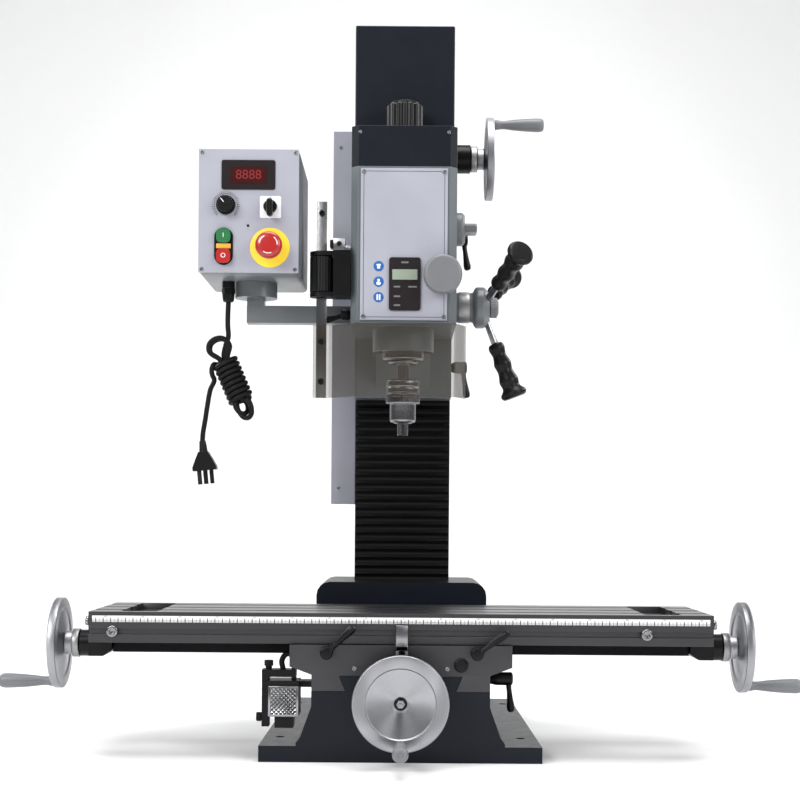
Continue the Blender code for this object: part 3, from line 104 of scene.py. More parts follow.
# How near corners are welded, and the angle in degrees over which an edge is softened.
WELD = 1e-5
EDGE_ANGLE = 30.0


# ---------------------------------------------------------------- settings
class MillFinish(bpy.types.PropertyGroup):
    """Sizes shared by every piece."""
    casting_edge: bpy.props.FloatProperty(
        name="Casting edge", description="Radius on the edges of the castings",
        default=0.0025, unit="LENGTH")
    sheet_edge: bpy.props.FloatProperty(
        name="Sheet edge", description="Radius on the edges of sheet and machined pieces",
        default=0.0010, unit="LENGTH")
    round_steps: bpy.props.IntProperty(
        name="Round steps", description="Facets around a turned piece", default=96)


def colour_setting(name, description, default):
    """A colour in linear light that a user can change."""
    return bpy.props.FloatVectorProperty(
        name=name, description=description, subtype="COLOR", size=3, min=0.0, max=1.0, default=default)


class MillColours(bpy.types.PropertyGroup):
    """Colours of the paints, metals and plastics."""
    machine_paint: colour_setting(
        "Machine paint", "On the base and the column", (0.0050, 0.0068, 0.0120))
    cover_paint: colour_setting(
        "Cover paint", "On the gearbox cover and the motor cover", (0.0060, 0.0078, 0.0130))
    head_paint: colour_setting(
        "Head paint", "On the head casting", (0.112, 0.128, 0.138))
    panel_paint: colour_setting(
        "Panel paint", "On the front panel, the lid and the rear box", (0.325, 0.330, 0.380))
    box_paint: colour_setting(
        "Box paint", "On the control box, its arm and the feed hub", (0.130, 0.142, 0.150))
    bracket_paint: colour_setting(
        "Bracket paint", "On the end brackets, bearings and levers", (0.0030, 0.0030, 0.0033))
    way_iron: colour_setting(
        "Ground iron", "On the table and the saddle", (0.066, 0.064, 0.068))
    wheel_metal: colour_setting(
        "Wheel metal", "On the handwheels", (0.330, 0.332, 0.350))
    bright_steel: colour_setting(
        "Bright steel", "On the spindle, the chuck and the screws", (0.270, 0.270, 0.275))
    stop_red: colour_setting(
        "Stop red", "On the stop button and the emergency stop", (0.360, 0.012, 0.010))
    start_green: colour_setting(
        "Start green", "On the start button", (0.015, 0.140, 0.045))
    disc_yellow: colour_setting(
        "Disc yellow", "Behind the emergency stop", (0.850, 0.600, 0.030))
    notice_blue: colour_setting(
        "Notice blue", "On the three round notices", (0.010, 0.095, 0.330))
    jacket: colour_setting(
        "Jacket", "On the cord, the hose and the bellows", (0.0035, 0.0036, 0.0040))
    guard_tint: colour_setting(
        "Guard tint", "Of the clear chip guard", (0.060, 0.050, 0.037))
    backdrop: colour_setting(
        "Backdrop", "Of the studio floor and wall", (0.860, 0.860, 0.860))


class MillCord(bpy.types.PropertyGroup):
    """How the mains cord is made up into its hank."""
    diameter: bpy.props.FloatProperty(
        name="Diameter", description="Across the cord's jacket", default=0.007, unit="LENGTH")
    wraps: bpy.props.IntProperty(
        name="Wraps", description="Turns of the cord around its own strands", default=8)
    wrap_radius: bpy.props.FloatProperty(
        name="Wrap radius", description="From the hank's middle to the middle of a wrap",
        default=0.015, unit="LENGTH")
    wrap_pitch: bpy.props.FloatProperty(
        name="Wrap pitch", description="From one wrap to the next", default=0.0073, unit="LENGTH")


class MillStage(bpy.types.PropertyGroup):
    """The camera and the lamps."""
    lens: bpy.props.FloatProperty(
        name="Lens", description="Focal length in millimetres on a 36 mm sensor", default=70.4,
        unit="CAMERA")
    distance: bpy.props.FloatProperty(
        name="Distance", description="From the spindle's axis to the camera", default=2.205, unit="LENGTH")
    height: bpy.props.FloatProperty(
        name="Height", description="Of the camera above the floor", default=0.3365, unit="LENGTH")
    roll: bpy.props.FloatProperty(
        name="Roll", description="Of the camera about its own axis", default=math.radians(0.42),
        subtype="ANGLE")
    key_power: bpy.props.FloatProperty(
        name="Key power", description="Of the large lamp at the front left, in watts", default=84.0,
        unit="POWER")


# ---------------------------------------------------------------- finishes
def shade(colour, factor):
    """A colour made darker or lighter, with its alpha."""
    return tuple(min(1.0, channel * factor) for channel in colour) + (1.0,)


class Shader:
    """A procedural material, built a node at a time."""

    def __init__(self, name, colour, roughness, metallic=0.0, **more):
        self.material = bpy.data.materials.new(name)
        self.material.use_nodes = True
        self.tree = self.material.node_tree
        self.surface = self.tree.nodes["Principled BSDF"]
        self.colour = colour
        self.surface.inputs["Base Color"].default_value = shade(colour, 1.0)
        self.surface.inputs["Roughness"].default_value = roughness
        self.surface.inputs["Metallic"].default_value = metallic
        for word, value in more.items():
            self.surface.inputs[word.replace("_", " ").title()].default_value = value
        self.place = self.node("ShaderNodeTexCoord").outputs["Object"]
        self.height = None

    def node(self, kind, inputs=None, **settings):
        made = self.tree.nodes.new(kind)
        for key, value in settings.items():
            setattr(made, key, value)
        for socket, value in (inputs or {}).items():
            if isinstance(value, bpy.types.NodeSocket):
                self.tree.links.new(value, made.inputs[socket])
            else:
                made.inputs[socket].default_value = value
        return made

    def feed(self, socket, source):
        self.tree.links.new(source, self.surface.inputs[socket])

    def math(self, operation, first, second=0.0):
        return self.node("ShaderNodeMath", {0: first, 1: second}, operation=operation).outputs[0]

    def split(self):
        """The local X, Y and Z of the point."""
        return self.node("ShaderNodeSeparateXYZ", {0: self.place}).outputs

    def noise(self, scale, detail=2.0, stretch=(1, 1, 1)):
        placed = self.node("ShaderNodeMapping", {"Vector": self.place, "Scale": stretch}).outputs[0]
        inputs = {"Vector": placed, "Scale": scale, "Detail": detail}
        return self.node("ShaderNodeTexNoise", inputs).outputs[0]

    def spread(self, source, low, high):
        """A value from 0 to 1 brought to the range from low to high."""
        return self.node("ShaderNodeMapRange", {"Value": source, "To Min": low, "To Max": high}).outputs[0]

    def mix(self, factor, first, second):
        """One colour turning into another as factor goes from 0 to 1."""
        return self.node("ShaderNodeMix", {0: factor, 6: first, 7: second}, data_type="RGBA").outputs[2]

    def bump(self, source, strength, distance):
        inputs = {"Strength": strength, "Distance": distance, "Height": source}
        if self.height:
            inputs["Normal"] = self.height
        self.height = self.node("ShaderNodeBump", inputs).outputs[0]
        self.feed("Normal", self.height)

    def mottle(self, amount, scale=16.0):
        low, high = shade(self.colour, 1 - amount), shade(self.colour, 1 + amount)
        self.feed("Base Color", self.mix(self.noise(scale, 3.0), low, high))

    def radius(self):
        """Distance from the local Z axis."""
        x, y, _ = self.split()
        return self.math("SQRT", self.math("ADD", self.math("MULTIPLY", x, x), self.math("MULTIPLY", y, y)))

    def turn(self):
        """Angle about the local Z axis, as a fraction of a turn."""
        x, y, _ = self.split()
        return self.math("DIVIDE", self.math("ARCTAN2", y, x), math.tau)


def enamel(name, colour, roughness, peel=0.10, gloss=0.12):
    """Sprayed paint on a casting or a sheet, with a fine orange peel."""
    look = Shader(name, colour, roughness, coat_weight=gloss, coat_roughness=0.18)
    look.surface.inputs["Specular IOR Level"].default_value = 0.5 if max(colour) > DARK else 0.14
    look.mottle(0.10)
    look.feed("Roughness", look.spread(look.noise(45.0), roughness - 0.06, roughness + 0.08))
    look.bump(look.noise(9.0, 3.0), 0.25, 0.004)
    look.bump(look.noise(620.0, 1.0), peel, 0.0005)
    return look.material


def ground(name, colour, roughness):
    """Iron ground along X, with fine lines and faint stains."""
    look = Shader(name, colour, roughness, metallic=0.85, anisotropic=0.55)
    look.mottle(0.16, 7.0)
    lines = look.noise(1.0, 2.0, (14, 1500, 1500))
    look.feed("Roughness", look.spread(lines, roughness - 0.10, roughness + 0.12))
    look.feed("Tangent", look.node("ShaderNodeCombineXYZ", {0: 1.0, 1: 0.0, 2: 0.0}).outputs[0])
    look.bump(lines, 0.10, 0.0003)
    return look.material


def turned_metal(name, colour, roughness, ticks=0, thread=0.0):
    """Metal cut on a lathe about its local Z axis, with graduations or a screw thread where asked; the
    thread's grooves carry painted shade and its crests a painted highlight.
    """
    look = Shader(name, colour, roughness, metallic=1.0, anisotropic=0.92)
    radius, along = look.radius(), look.split()[2]
    rings = look.node("ShaderNodeTexNoise",
                      {"W": look.math("ADD", radius, along), "Scale": 3200.0, "Detail": 2.0},
                      noise_dimensions="1D").outputs[0]
    look.feed("Roughness", look.spread(rings, roughness - 0.09, roughness + 0.12))
    look.feed("Tangent", look.node("ShaderNodeTangent", direction_type="RADIAL", axis="Z").outputs[0])
    look.bump(rings, 0.12, 0.0002)
    if ticks:
        step = look.math("FRACT", look.math("MULTIPLY", look.turn(), float(ticks)))
        mark = look.math("LESS_THAN", step, 0.22)
        look.feed("Base Color", look.mix(mark, shade(colour, 1.0), shade(colour, 0.03)))
    if thread:
        wave = look.math("FRACT", look.math("ADD", look.math("DIVIDE", along, thread), look.turn()))
        ridge = look.math("PINGPONG", wave, 0.5)
        look.bump(ridge, 1.0, thread)
        # The thread's grooves are painted darker as painted shade and its crests lighter as a painted
        # highlight.
        look.feed("Base Color", look.mix(ridge, shade(colour, 0.25), shade(colour, 1.6)))
    return look.material


def moulded(name, colour, roughness, grain=0.15, gloss=0.0, blotch=0.08):
    """Moulded plastic or rubber with a fine grain."""
    look = Shader(name, colour, roughness, coat_weight=gloss, coat_roughness=0.08)
    look.surface.inputs["Specular IOR Level"].default_value = 0.5 if max(colour) > DARK else 0.18
    look.mottle(blotch, 40.0)
    look.feed("Roughness", look.spread(look.noise(90.0), roughness - 0.05, roughness + 0.08))
    look.bump(look.noise(1400.0, 2.0), grain, 0.0003)
    return look.material


def smoky(name, colour, roughness):
    """Clear brown sheet with faint scratches."""
    look = Shader(name, colour, roughness, coat_weight=0.6, coat_roughness=0.04)
    look.mottle(0.10, 30.0)
    scratches = look.noise(3.0, 3.0, (60, 60, 900))
    look.feed("Roughness", look.spread(scratches, roughness - 0.03, roughness + 0.10))
    edge = look.node("ShaderNodeLayerWeight", {"Blend": 0.35}).outputs["Facing"]
    look.feed("Alpha", look.spread(edge, 0.30, 0.88))
    return look.material


def ruler(name, colour, roughness):
    """White strip with a black mark each millimetre, taller at each fifth and tenth."""
    look = Shader(name, colour, roughness)
    along, high = look.split()[0], look.split()[2]
    marks = None
    for pitch, width, top in ((0.001, 0.34, 0.1884), (0.005, 0.13, 0.1896), (0.010, 0.12, 0.1908)):
        count = look.math("ADD", look.math("DIVIDE", along, pitch), width / 2)
        on = look.math("LESS_THAN", look.math("FRACT", count), width)
        mark = look.math("MULTIPLY", on, look.math("LESS_THAN", high, top))
        marks = look.math("MAXIMUM", marks, mark) if marks else mark
    look.feed("Base Color", look.mix(marks, shade(colour, 1.0), shade(colour, 0.03)))
    look.bump(look.noise(200.0), 0.05, 0.0002)
    return look.material


def lattice(name, colour, roughness):
    """Prismatic lens in small silver diamonds, painted dark in the grooves between them as painted shade and
    light on their peaks as a painted highlight.
    """
    look = Shader(name, colour, roughness, metallic=0.9)
    x, _, z = look.split()
    waves = []
    for sign in (1.0, -1.0):
        slope = look.math("ADD", look.math("MULTIPLY", x, sign), z)
        waves.append(look.math("PINGPONG", look.math("MULTIPLY", slope, 170.0), 0.5))
    peak = look.math("MINIMUM", waves[0], waves[1])
    # Painted shade darkens the grooves between the diamonds, and a painted highlight lightens their peaks.
    height = look.math("MULTIPLY", peak, 2.0)
    look.feed("Base Color", look.mix(height, shade(colour, 0.25), shade(colour, 1.1)))
    look.bump(peak, 1.0, 0.004)
    return look.material


def lit(name, colour, strength):
    """A softly lit lens or digit."""
    look = Shader(name, colour, 0.35, emission_color=shade(colour, 1.0), emission_strength=strength)
    look.mottle(0.10, 300.0)
    return look.material


# Each finish: its recipe, its colour or the setting that holds it, its roughness and
# then the recipe's own values.
RECIPES = {
    "navy": (enamel, "machine_paint", 0.42),
    "sheet_navy": (enamel, "cover_paint", 0.44, 0.22),
    "head_grey": (enamel, "head_paint", 0.36),
    "pale": (enamel, "panel_paint", 0.32, 0.06),
    "die_cast": (enamel, "box_paint", 0.38, 0.16),
    "black_paint": (enamel, "bracket_paint", 0.40),
    "iron": (ground, "way_iron", 0.36),
    "aluminium": (turned_metal, "wheel_metal", 0.30),
    "dial": (turned_metal, (0.380, 0.380, 0.380), 0.30, 100),
    "steel": (turned_metal, "bright_steel", 0.20),
    "thread": (turned_metal, (0.300, 0.300, 0.305), 0.30, 0, 0.005),
    "black_plastic": (moulded, (0.0070, 0.0070, 0.0075), 0.34, 0.10),
    "grey_plastic": (moulded, (0.145, 0.150, 0.158), 0.38, 0.10),
    "rubber": (moulded, "jacket", 0.50, 0.35),
    "red": (moulded, "stop_red", 0.30, 0.05, 0.3),
    "green": (moulded, "start_green", 0.32, 0.05, 0.2),
    "yellow": (moulded, "disc_yellow", 0.42, 0.05),
    "orange": (lit, (0.900, 0.330, 0.040), 0.25),
    "blue": (moulded, "notice_blue", 0.40, 0.05),
    "white": (moulded, (0.780, 0.780, 0.790), 0.45, 0.05),
    # Dark print, also used as painted shade in the motor cover's vent slots.
    "print": (moulded, (0.022, 0.022, 0.024), 0.55, 0.05),
    "display": (moulded, (0.018, 0.014, 0.015), 0.16, 0.03, 0.5),
    "window": (moulded, (0.042, 0.006, 0.006), 0.14, 0.03, 0.5),
    "digits": (lit, (0.190, 0.008, 0.007), 0.05),
    "lcd": (moulded, (0.250, 0.300, 0.235), 0.22, 0.03, 0.4),
    "smoky": (smoky, "guard_tint", 0.10),
    "ruler": (ruler, (0.740, 0.740, 0.730), 0.40),
    "lattice": (lattice, (0.720, 0.730, 0.740), 0.20),
    "floor": (moulded, "backdrop", 0.75, 0.02, 0.0, 0.008),
}


@lru_cache(maxsize=None)
def coat(name):
    """The material of that name, made the first time it is asked for."""
    recipe, colour, *values = RECIPES[name]
    if isinstance(colour, str):
        colour = tuple(getattr(bpy.context.scene.mill_colours, colour))
    return recipe(name, colour, *values)


# ---------------------------------------------------------------- shapes
def rounded(profile, radius=0.0008, steps=3):
    """A line with its corners rounded; its two ends stay."""
    points = [Vector(point) for point in profile]
    line = [points[0]]
    for before, corner, after in zip(points, points[1:], points[2:]):
        back, ahead = before - corner, after - corner
        reach = min(radius, back.length * 0.45, ahead.length * 0.45)
        start, end = corner + back.normalized() * reach, corner + ahead.normalized() * reach
        for i in range(steps + 1):
            t = i / steps
            line.append(start * (1 - t) ** 2 + corner * 2 * t * (1 - t) + end * t * t)
    line.append(points[-1])
    return line


def aim(seat, direction):
    """The placement whose origin is at seat and whose Z points along direction."""
    turn = Vector(direction).to_track_quat("Z", "Y").to_matrix().to_4x4()
    return Matrix.Translation(Vector(seat)) @ turn


def pill(width, height, radius, steps=8):
    """A rounded rectangle about the origin."""
    outline = []
    for quarter in range(4):
        cx = (width / 2 - radius) * (1 if quarter in (0, 3) else -1)
        cy = (height / 2 - radius) * (1 if quarter < 2 else -1)
        for i in range(steps + 1):
            turn = math.pi / 2 * (quarter + i / steps)
            outline.append((cx + radius * math.cos(turn), cy + radius * math.sin(turn)))
    return outline


def hexagon(radius):
    """Six corners at that distance from the origin."""
    return [(radius * math.cos(math.tau * i / 6), radius * math.sin(math.tau * i / 6)) for i in range(6)]


def ribbed(radius, depth, ribs):
    """A circle with rounded ribs standing out of it."""
    outline = []
    for i in range(ribs * 8):
        turn = math.tau * i / (ribs * 8)
        rise = 0.5 + 0.5 * math.cos(turn * ribs)
        reach = radius - depth * (1 - rise ** 0.5)
        outline.append((reach * math.cos(turn), reach * math.sin(turn)))
    return outline


class Shape:
    """One mesh in the making. Each method adds a closed piece to it."""

    def __init__(self):
        self.bm = bmesh.new()

    def lathe(self, profile, place=Matrix(), steps=None, corner=0.0008):
        """Revolves (radius, height) points about Z."""
        steps = steps or bpy.context.scene.mill_finish.round_steps
        rings = []
        for radius, height in rounded(profile, corner):
            if radius < 1e-7:
                rings.append([self.bm.verts.new(place @ Vector((0, 0, height)))])
                continue
            ring = []
            for i in range(steps):
                turn = math.tau * i / steps
                point = Vector((radius * math.cos(turn), radius * math.sin(turn), height))
                ring.append(self.bm.verts.new(place @ point))
            rings.append(ring)
        self.skin(rings, closed=profile[0][0] > 0 and profile[-1][0] > 0)
        return self

    def skin(self, rings, closed=False):
        """Joins each ring to the next one."""
        pairs = list(zip(rings, rings[1:]))
        if closed:
            pairs.append((rings[-1], rings[0]))
        for low, high in pairs:
            count = max(len(low), len(high))
            for i in range(count):
                j = (i + 1) % count
                corners = [low[i % len(low)], low[j % len(low)], high[j % len(high)], high[i % len(high)]]
                unique = list(dict.fromkeys(corners))
                if len(unique) > 2:
                    self.bm.faces.new(unique)

    def extrude(self, outline, low, high, place=Matrix(), soft=0.0006):
        """An outline in local X and Y drawn out along Z, with softened rims."""
        reach = max(math.hypot(*point) for point in outline)
        rings = []
        for height, shrink in ((low, soft), (low + soft, 0), (high - soft, 0), (high, soft)):
            scale = 1 - shrink / reach
            points = [place @ Vector((x * scale, y * scale, height)) for x, y in outline]
            rings.append([self.bm.verts.new(point) for point in points])
        self.skin(rings)
        self.bm.faces.new(rings[0])
        self.bm.faces.new(rings[-1])
        return self

    def slab(self, low, high, soft=0.0008):
        """A block between two corners with rounded edges."""
        low, high = Vector(low), Vector(high)
        made = bmesh.ops.create_cube(self.bm, size=1.0)
        for vert in made["verts"]:
            vert.co = Vector([(low[k] + high[k]) / 2 + vert.co[k] * (high[k] - low[k]) for k in range(3)])
        edges = list({edge for vert in made["verts"] for edge in vert.link_edges})
        bmesh.ops.bevel(self.bm, geom=edges, offset=soft, segments=2, profile=0.5, affect="EDGES")
        return self

    def screw(self, seat, normal, radius, rise=0.0015):
        """A socket-head screw standing out of a face."""
        profile = [(0, rise * 0.2), (radius * 0.48, rise * 0.2), (radius * 0.50, rise), (radius * 0.92, rise),
                   (radius, rise * 0.6), (radius, 0), (0, 0)]
        return self.lathe(profile, aim(seat, normal), 24, 0.0002)

    def words(self, text, size, at):
        """Printed characters standing on a front face."""
        curve = bpy.data.curves.new("words", "FONT")
        curve.body, curve.size, curve.extrude = text, size, 0.00005
        curve.align_x = curve.align_y = "CENTER"
        drawn = bpy.data.objects.new("words", curve)
        bpy.context.scene.collection.objects.link(drawn)
        bpy.context.view_layer.update()
        mesh = bpy.data.meshes.new_from_object(drawn.evaluated_get(bpy.context.evaluated_depsgraph_get()))
        mesh.transform(Matrix.Translation(at) @ Matrix.Rotation(math.pi / 2, 4, "X"))
        self.bm.from_mesh(mesh)
        bpy.data.objects.remove(drawn)
        bpy.data.meshes.remove(mesh)
        return self

    def done(self, name, finish, like, stands_for=(), place=Matrix(), angle=35.0):
        """Makes the object, on the body of the node it is like."""
        bmesh.ops.recalc_face_normals(self.bm, faces=self.bm.faces)
        mesh = bpy.data.meshes.new(name)
        self.bm.to_mesh(mesh)
        self.bm.free()
        return settle(name, mesh, finish, like, stands_for, place, angle)


def settle(name, mesh, finish, like, stands_for=(), place=Matrix(), angle=35.0):
    """Links a finished mesh and ties it to its body."""
    mesh.materials.clear()
    mesh.materials.append(coat(finish))
    mesh.shade_smooth()
    mesh.set_sharp_from_angle(angle=math.radians(angle))
    obj = bpy.data.objects.new(name, mesh)
    bpy.context.scene.collection.objects.link(obj)
    obj.matrix_world = place
    bpy.context.view_layer.update()
    if like:
        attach(obj, NODES[like]["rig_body"])
    if stands_for:
        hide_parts(*stands_for)
    return obj


def soften(node, finish, width, name=None):
    """A copy of a node with rounded edges, shown in its place."""
    bm = bmesh.new()
    bm.from_mesh(NODES[node].data)
    bmesh.ops.remove_doubles(bm, verts=bm.verts, dist=WELD)
    bmesh.ops.dissolve_limit(bm, angle_limit=math.radians(1), verts=bm.verts, edges=bm.edges)
    mesh = bpy.data.meshes.new(name or f"{node}_soft")
    bm.to_mesh(mesh)
    bm.free()
    obj = settle(name or f"{node}_soft", mesh, finish, node, (node,), angle=EDGE_ANGLE)
    edges = obj.modifiers.new("soft_edges", "BEVEL")
    edges.width = width
    edges.segments = 3
    edges.limit_method = "ANGLE"
    edges.angle_limit = math.radians(EDGE_ANGLE)
    edges.harden_normals = True
    return obj


def dress(node, finish):
    """Gives a node that stays in view its finish."""
    mesh = NODES[node].data
    mesh.materials.clear()
    mesh.materials.append(coat(finish))


# ---------------------------------------------------------------- castings
class MILL_OT_castings(bpy.types.Operator):
    """Softens the base, column, saddle, table and head, and fits the end brackets' bolts"""
    bl_idname = "mill.castings"
    bl_label = "Castings"
    bl_options = {"REGISTER", "UNDO"}

    def execute(self, context):
        finish = context.scene.mill_finish
        soften("base_casting", "navy", finish.casting_edge)
        soften("column", "navy", finish.casting_edge)
        soften("saddle_casting", "iron", finish.sheet_edge * 1.5)
        soften("table_top", "iron", finish.sheet_edge * 0.6)
        soften("head_casting", "head_grey", finish.sheet_edge * 1.5)
        for node in ("end_bracket_left", "end_bracket_right"):
            soften(node, "black_paint", finish.sheet_edge * 2)
        soften("z_crank_bearing", "black_paint", finish.sheet_edge)
        ends = Shape()
        for side, node in ((-1, "end_bracket_left"), (1, "end_bracket_right")):
            for where in (-0.040, 0.040):
                ends.screw((side * 0.4323, where, 0.182), RIGHT * side, 0.0065, 0.004)
        ends.done("bracket_bolts", "steel", "end_bracket_left")
        return {"FINISHED"}


class MILL_OT_covers(bpy.types.Operator):
    """Softens the covers, the front panel and the electrics box, and adds their screws and dark bars of
    painted shade for the motor cover's vent slots
    """
    bl_idname = "mill.covers"
    bl_label = "Covers"
    bl_options = {"REGISTER", "UNDO"}

    def execute(self, context):
        finish = context.scene.mill_finish
        soften("gearbox_cover", "sheet_navy", finish.sheet_edge * 2)
        soften("motor_cover", "sheet_navy", finish.sheet_edge * 4)
        soften("rear_electrics_box", "pale", finish.sheet_edge * 1.5)
        soften("head_front_panel", "pale", finish.sheet_edge * 0.5)
        dress("spindle_motor", "steel")
        low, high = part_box("drawbar_cap")
        height = high.z - low.z
        cap = Shape()
        cap.extrude(ribbed(0.0255, 0.0022, 16), 0, height - 0.004, soft=0.0015)
        top = [(0, height - 0.006), (0.0210, height - 0.006), (0.0210, height), (0, height)]
        cap.lathe(top, corner=0.002)
        cap.done("drawbar_cap_ribs", "black_plastic", "drawbar_cap", ("drawbar_cap",), aim((0, 0, low.z), UP))
        screws = Shape()
        for x in (-0.0545, 0.0545):
            for z in (0.6000, 0.7960):
                screws.screw((x, PANEL_FRONT, z), FRONT, 0.0028, 0.0013)
        for x in (-0.060, 0.060):
            screws.screw((x, -0.0851, 0.8500), FRONT, 0.0024, 0.0012)
            screws.screw((x, 0.0279, 0.8700), FRONT, 0.0024, 0.0012)
        screws.done("panel_screws", "steel", "head_front_panel")
        box_screws = Shape()
        for z in (0.372, 0.635, 0.898):
            box_screws.screw((-0.0985, 0.2130, z), FRONT, 0.0024, 0.0012)
        box_screws.done("box_screws", "steel", "rear_electrics_box")
        # The vent slots in the motor cover's sides are dark bars of painted shade, standing where the shaded
        # inside shows through.
        vent_shade = Shape()
        for side in (-1, 1):
            x = side * 0.0712
            for i in range(9):
                z = 0.900 + i * 0.011
                vent_shade.slab((x - 0.0006, 0.066, z), (x + 0.0006, 0.138, z + 0.0045), 0.0003)
        vent_shade.done("motor_vents", "print", "motor_cover")
        return {"FINISHED"}


class MILL_OT_panel(bpy.types.Operator):
    """Prints the front panel's border, readout and pictograms, and fits the fine feed knob"""
    bl_idname = "mill.panel"
    bl_label = "Front panel"
    bl_options = {"REGISTER", "UNDO"}

    def execute(self, context):
        middle = aim((0, PANEL_FRONT, 0.698), FRONT)
        border = Shape()
        outer, inner = pill(0.110, 0.198, 0.006), pill(0.1088, 0.1968, 0.0055)
        rings = []
        for outline, out in ((outer, 0), (outer, 0.00015), (inner, 0.00015), (inner, 0)):
            rings.append([border.bm.verts.new(middle @ Vector((x, y, out))) for x, y in outline])
        border.skin(rings, closed=True)
        border.done("panel_border", "print", "head_front_panel")
        bezel_seat = aim((0.0015, PANEL_FRONT, 0.644), FRONT)
        bezel = Shape().extrude(pill(0.043, 0.072, 0.004), 0, 0.0028, bezel_seat)
        bezel.done("readout_case", "display", "head_front_panel")
        glass_seat = aim((0.0015, PANEL_FRONT - 0.0027, 0.6565), FRONT)
        glass = Shape().extrude(pill(0.034, 0.014, 0.001), 0, 0.0006, glass_seat, 0.0002)
        glass.done("readout_glass", "lcd", "head_front_panel")
        keys = Shape()
        for x, z, wide in ((0.0015, 0.6730, 0.010), (-0.0090, 0.6400, 0.009), (0.0120, 0.6400, 0.012),
                           (-0.0090, 0.6270, 0.009), (-0.0090, 0.6150, 0.009)):
            key_seat = aim((x, PANEL_FRONT - 0.0028, z), FRONT)
            keys.extrude(pill(wide, 0.0022, 0.0008, 2), 0, 0.0001, key_seat, 0)
        keys.done("readout_printing", "grey_plastic", "head_front_panel")
        discs, marks = Shape(), Shape()
        # Each notice: the width, height, corner and place of its rounded shapes.
        pictures = (((0.0060, 0.0022, 0.001, (0, 0.0018, 0)), (0.0040, 0.0036, 0.001, (0, -0.0015, 0))),
                    ((0.0034, 0.0034, 0.0016, (0, 0.0022, 0)), (0.0060, 0.0044, 0.002, (0, -0.0022, 0))),
                    ((0.0022, 0.0080, 0.001, (-0.0016, 0, 0)), (0.0022, 0.0080, 0.001, (0.0016, 0, 0))))
        disc = [(0, 0), (0.0070, 0), (0.0070, 0.0003), (0, 0.0003)]
        for z, picture in zip((0.668, 0.647, 0.626), pictures):
            discs.lathe(disc, aim((-0.034, PANEL_FRONT, z), FRONT), 48, 0.0001)
            place = aim((-0.034, PANEL_FRONT - 0.0003, z), FRONT)
            for wide, tall, corner, spot in picture:
                marks.extrude(pill(wide, tall, corner), 0, 0.0001, place @ Matrix.Translation(spot), 0)
        discs.done("notice_discs", "blue", "head_front_panel")
        marks.done("notice_pictures", "white", "head_front_panel")
        knob = Shape()
        knob.lathe([(0, 0.0003), (0.022, 0.0003), (0.022, 0.010), (0, 0.010)], corner=0.001)
        knob.lathe([(0, 0.0100), (0.0242, 0.0100), (0.0260, 0.0125), (0.0260, 0.0290), (0.0235, 0.0316),
                    (0.0205, 0.0320), (0, 0.0317)], corner=0.0022)
        knob.done("fine_feed_turned", "grey_plastic", "fine_feed_knob", ("fine_feed_knob",),
                  aim((0.0525, PANEL_FRONT, 0.6545), FRONT))
        return {"FINISHED"}


# ---------------------------------------------------------------- wheels and grips
# Each wheel: its node, its handle's node, its seat, the way it faces and the way its crank points.
WHEELS = (("x_wheel_left", "x_handle_left", (-0.4508, 0, 0.148), -RIGHT, -UP),
          ("x_wheel_right", "x_handle_right", (0.4508, 0, 0.148), RIGHT, -UP),
          ("y_wheel", "y_handle", (0, -0.1458, 0.086), FRONT, -UP),
          ("z_crank_wheel", "z_handle", (0.1028, CRANK_DEPTH, 0.887), RIGHT, UP))


class MILL_OT_wheels(bpy.types.Operator):
    """Turns the four dished handwheels, their graduated collars, hubs and crank handles"""
    bl_idname = "mill.wheels"
    bl_label = "Handwheels"
    bl_options = {"REGISTER", "UNDO"}

    def execute(self, context):
        for wheel, handle, seat, out, crank in WHEELS:
            place = aim(seat, out)
            dish = [(0, 0.0268), (0.0090, 0.0268), (0.0120, 0.0270), (0.0455, 0.0330), (0.0470, 0.0347),
                    (0.0620, 0.0352), (0.0635, 0.0340), (0.0635, 0.0242), (0.0620, 0.0237),
                    (0.0500, 0.0237), (0.0460, 0.0255), (0.0180, 0.0215), (0.0160, 0.0200), (0.0160, 0.0110),
                    (0, 0.0110)]
            body = Shape().lathe(dish, corner=0.0005)
            if wheel == "z_crank_wheel":
                body.lathe([(0, 0.0120), (0.0080, 0.0120), (0.0080, -0.0880), (0.0120, -0.0880),
                            (0.0120, -0.0903), (0, -0.0903)])
            body.done(f"{wheel}_dish", "aluminium", wheel, (wheel,), place)
            collar = [(0.0085, 0.0004), (0.0190, 0.0004), (0.0200, 0.0012), (0.0200, 0.0100),
                      (0.0185, 0.0108), (0.0085, 0.0108)]
            Shape().lathe(collar, corner=0.0004).done(f"{wheel}_dial", "dial", wheel, (), place)
            washer = [(0, 0.0265), (0.0088, 0.0265), (0.0088, 0.0288), (0.0070, 0.0296), (0, 0.0296)]
            Shape().lathe(washer).done(f"{wheel}_washer", "black_paint", wheel, (), place)
            nut = Shape().extrude(hexagon(0.0058), 0.0290, 0.0346, soft=0.0006)
            nut.lathe([(0, 0.0340), (0.0028, 0.0340), (0.0028, 0.0352), (0, 0.0352)])
            nut.done(f"{wheel}_nut", "steel", wheel, (), place)
            grip_seat = Vector(seat) + out * 0.0352 + crank * CRANK_THROW
            grip = [(0, 0.0003), (0.0062, 0.0003), (0.0078, 0.0030), (0.0072, 0.0075), (0.0062, 0.0130),
                    (0.0066, 0.0200), (0.0080, 0.0300), (0.0093, 0.0450), (0.0103, 0.0620), (0.0105, 0.0705),
                    (0.0098, 0.0760), (0.0075, 0.0787), (0.0040, 0.0790), (0.0036, 0.0778), (0, 0.0778)]
            Shape().lathe(grip, corner=0.004).done(f"{handle}_turned", "grey_plastic", handle, (handle,),
                                                   aim(grip_seat, out))
            bolt = [(0, 0.0300), (0.0048, 0.0300), (0.0056, 0.0312), (0.0056, 0.0352), (0, 0.0352)]
            spot = Vector(seat) + crank * CRANK_THROW
            Shape().lathe(bolt).done(f"{handle}_stud", "steel", wheel, (), aim(spot, out))
        return {"FINISHED"}


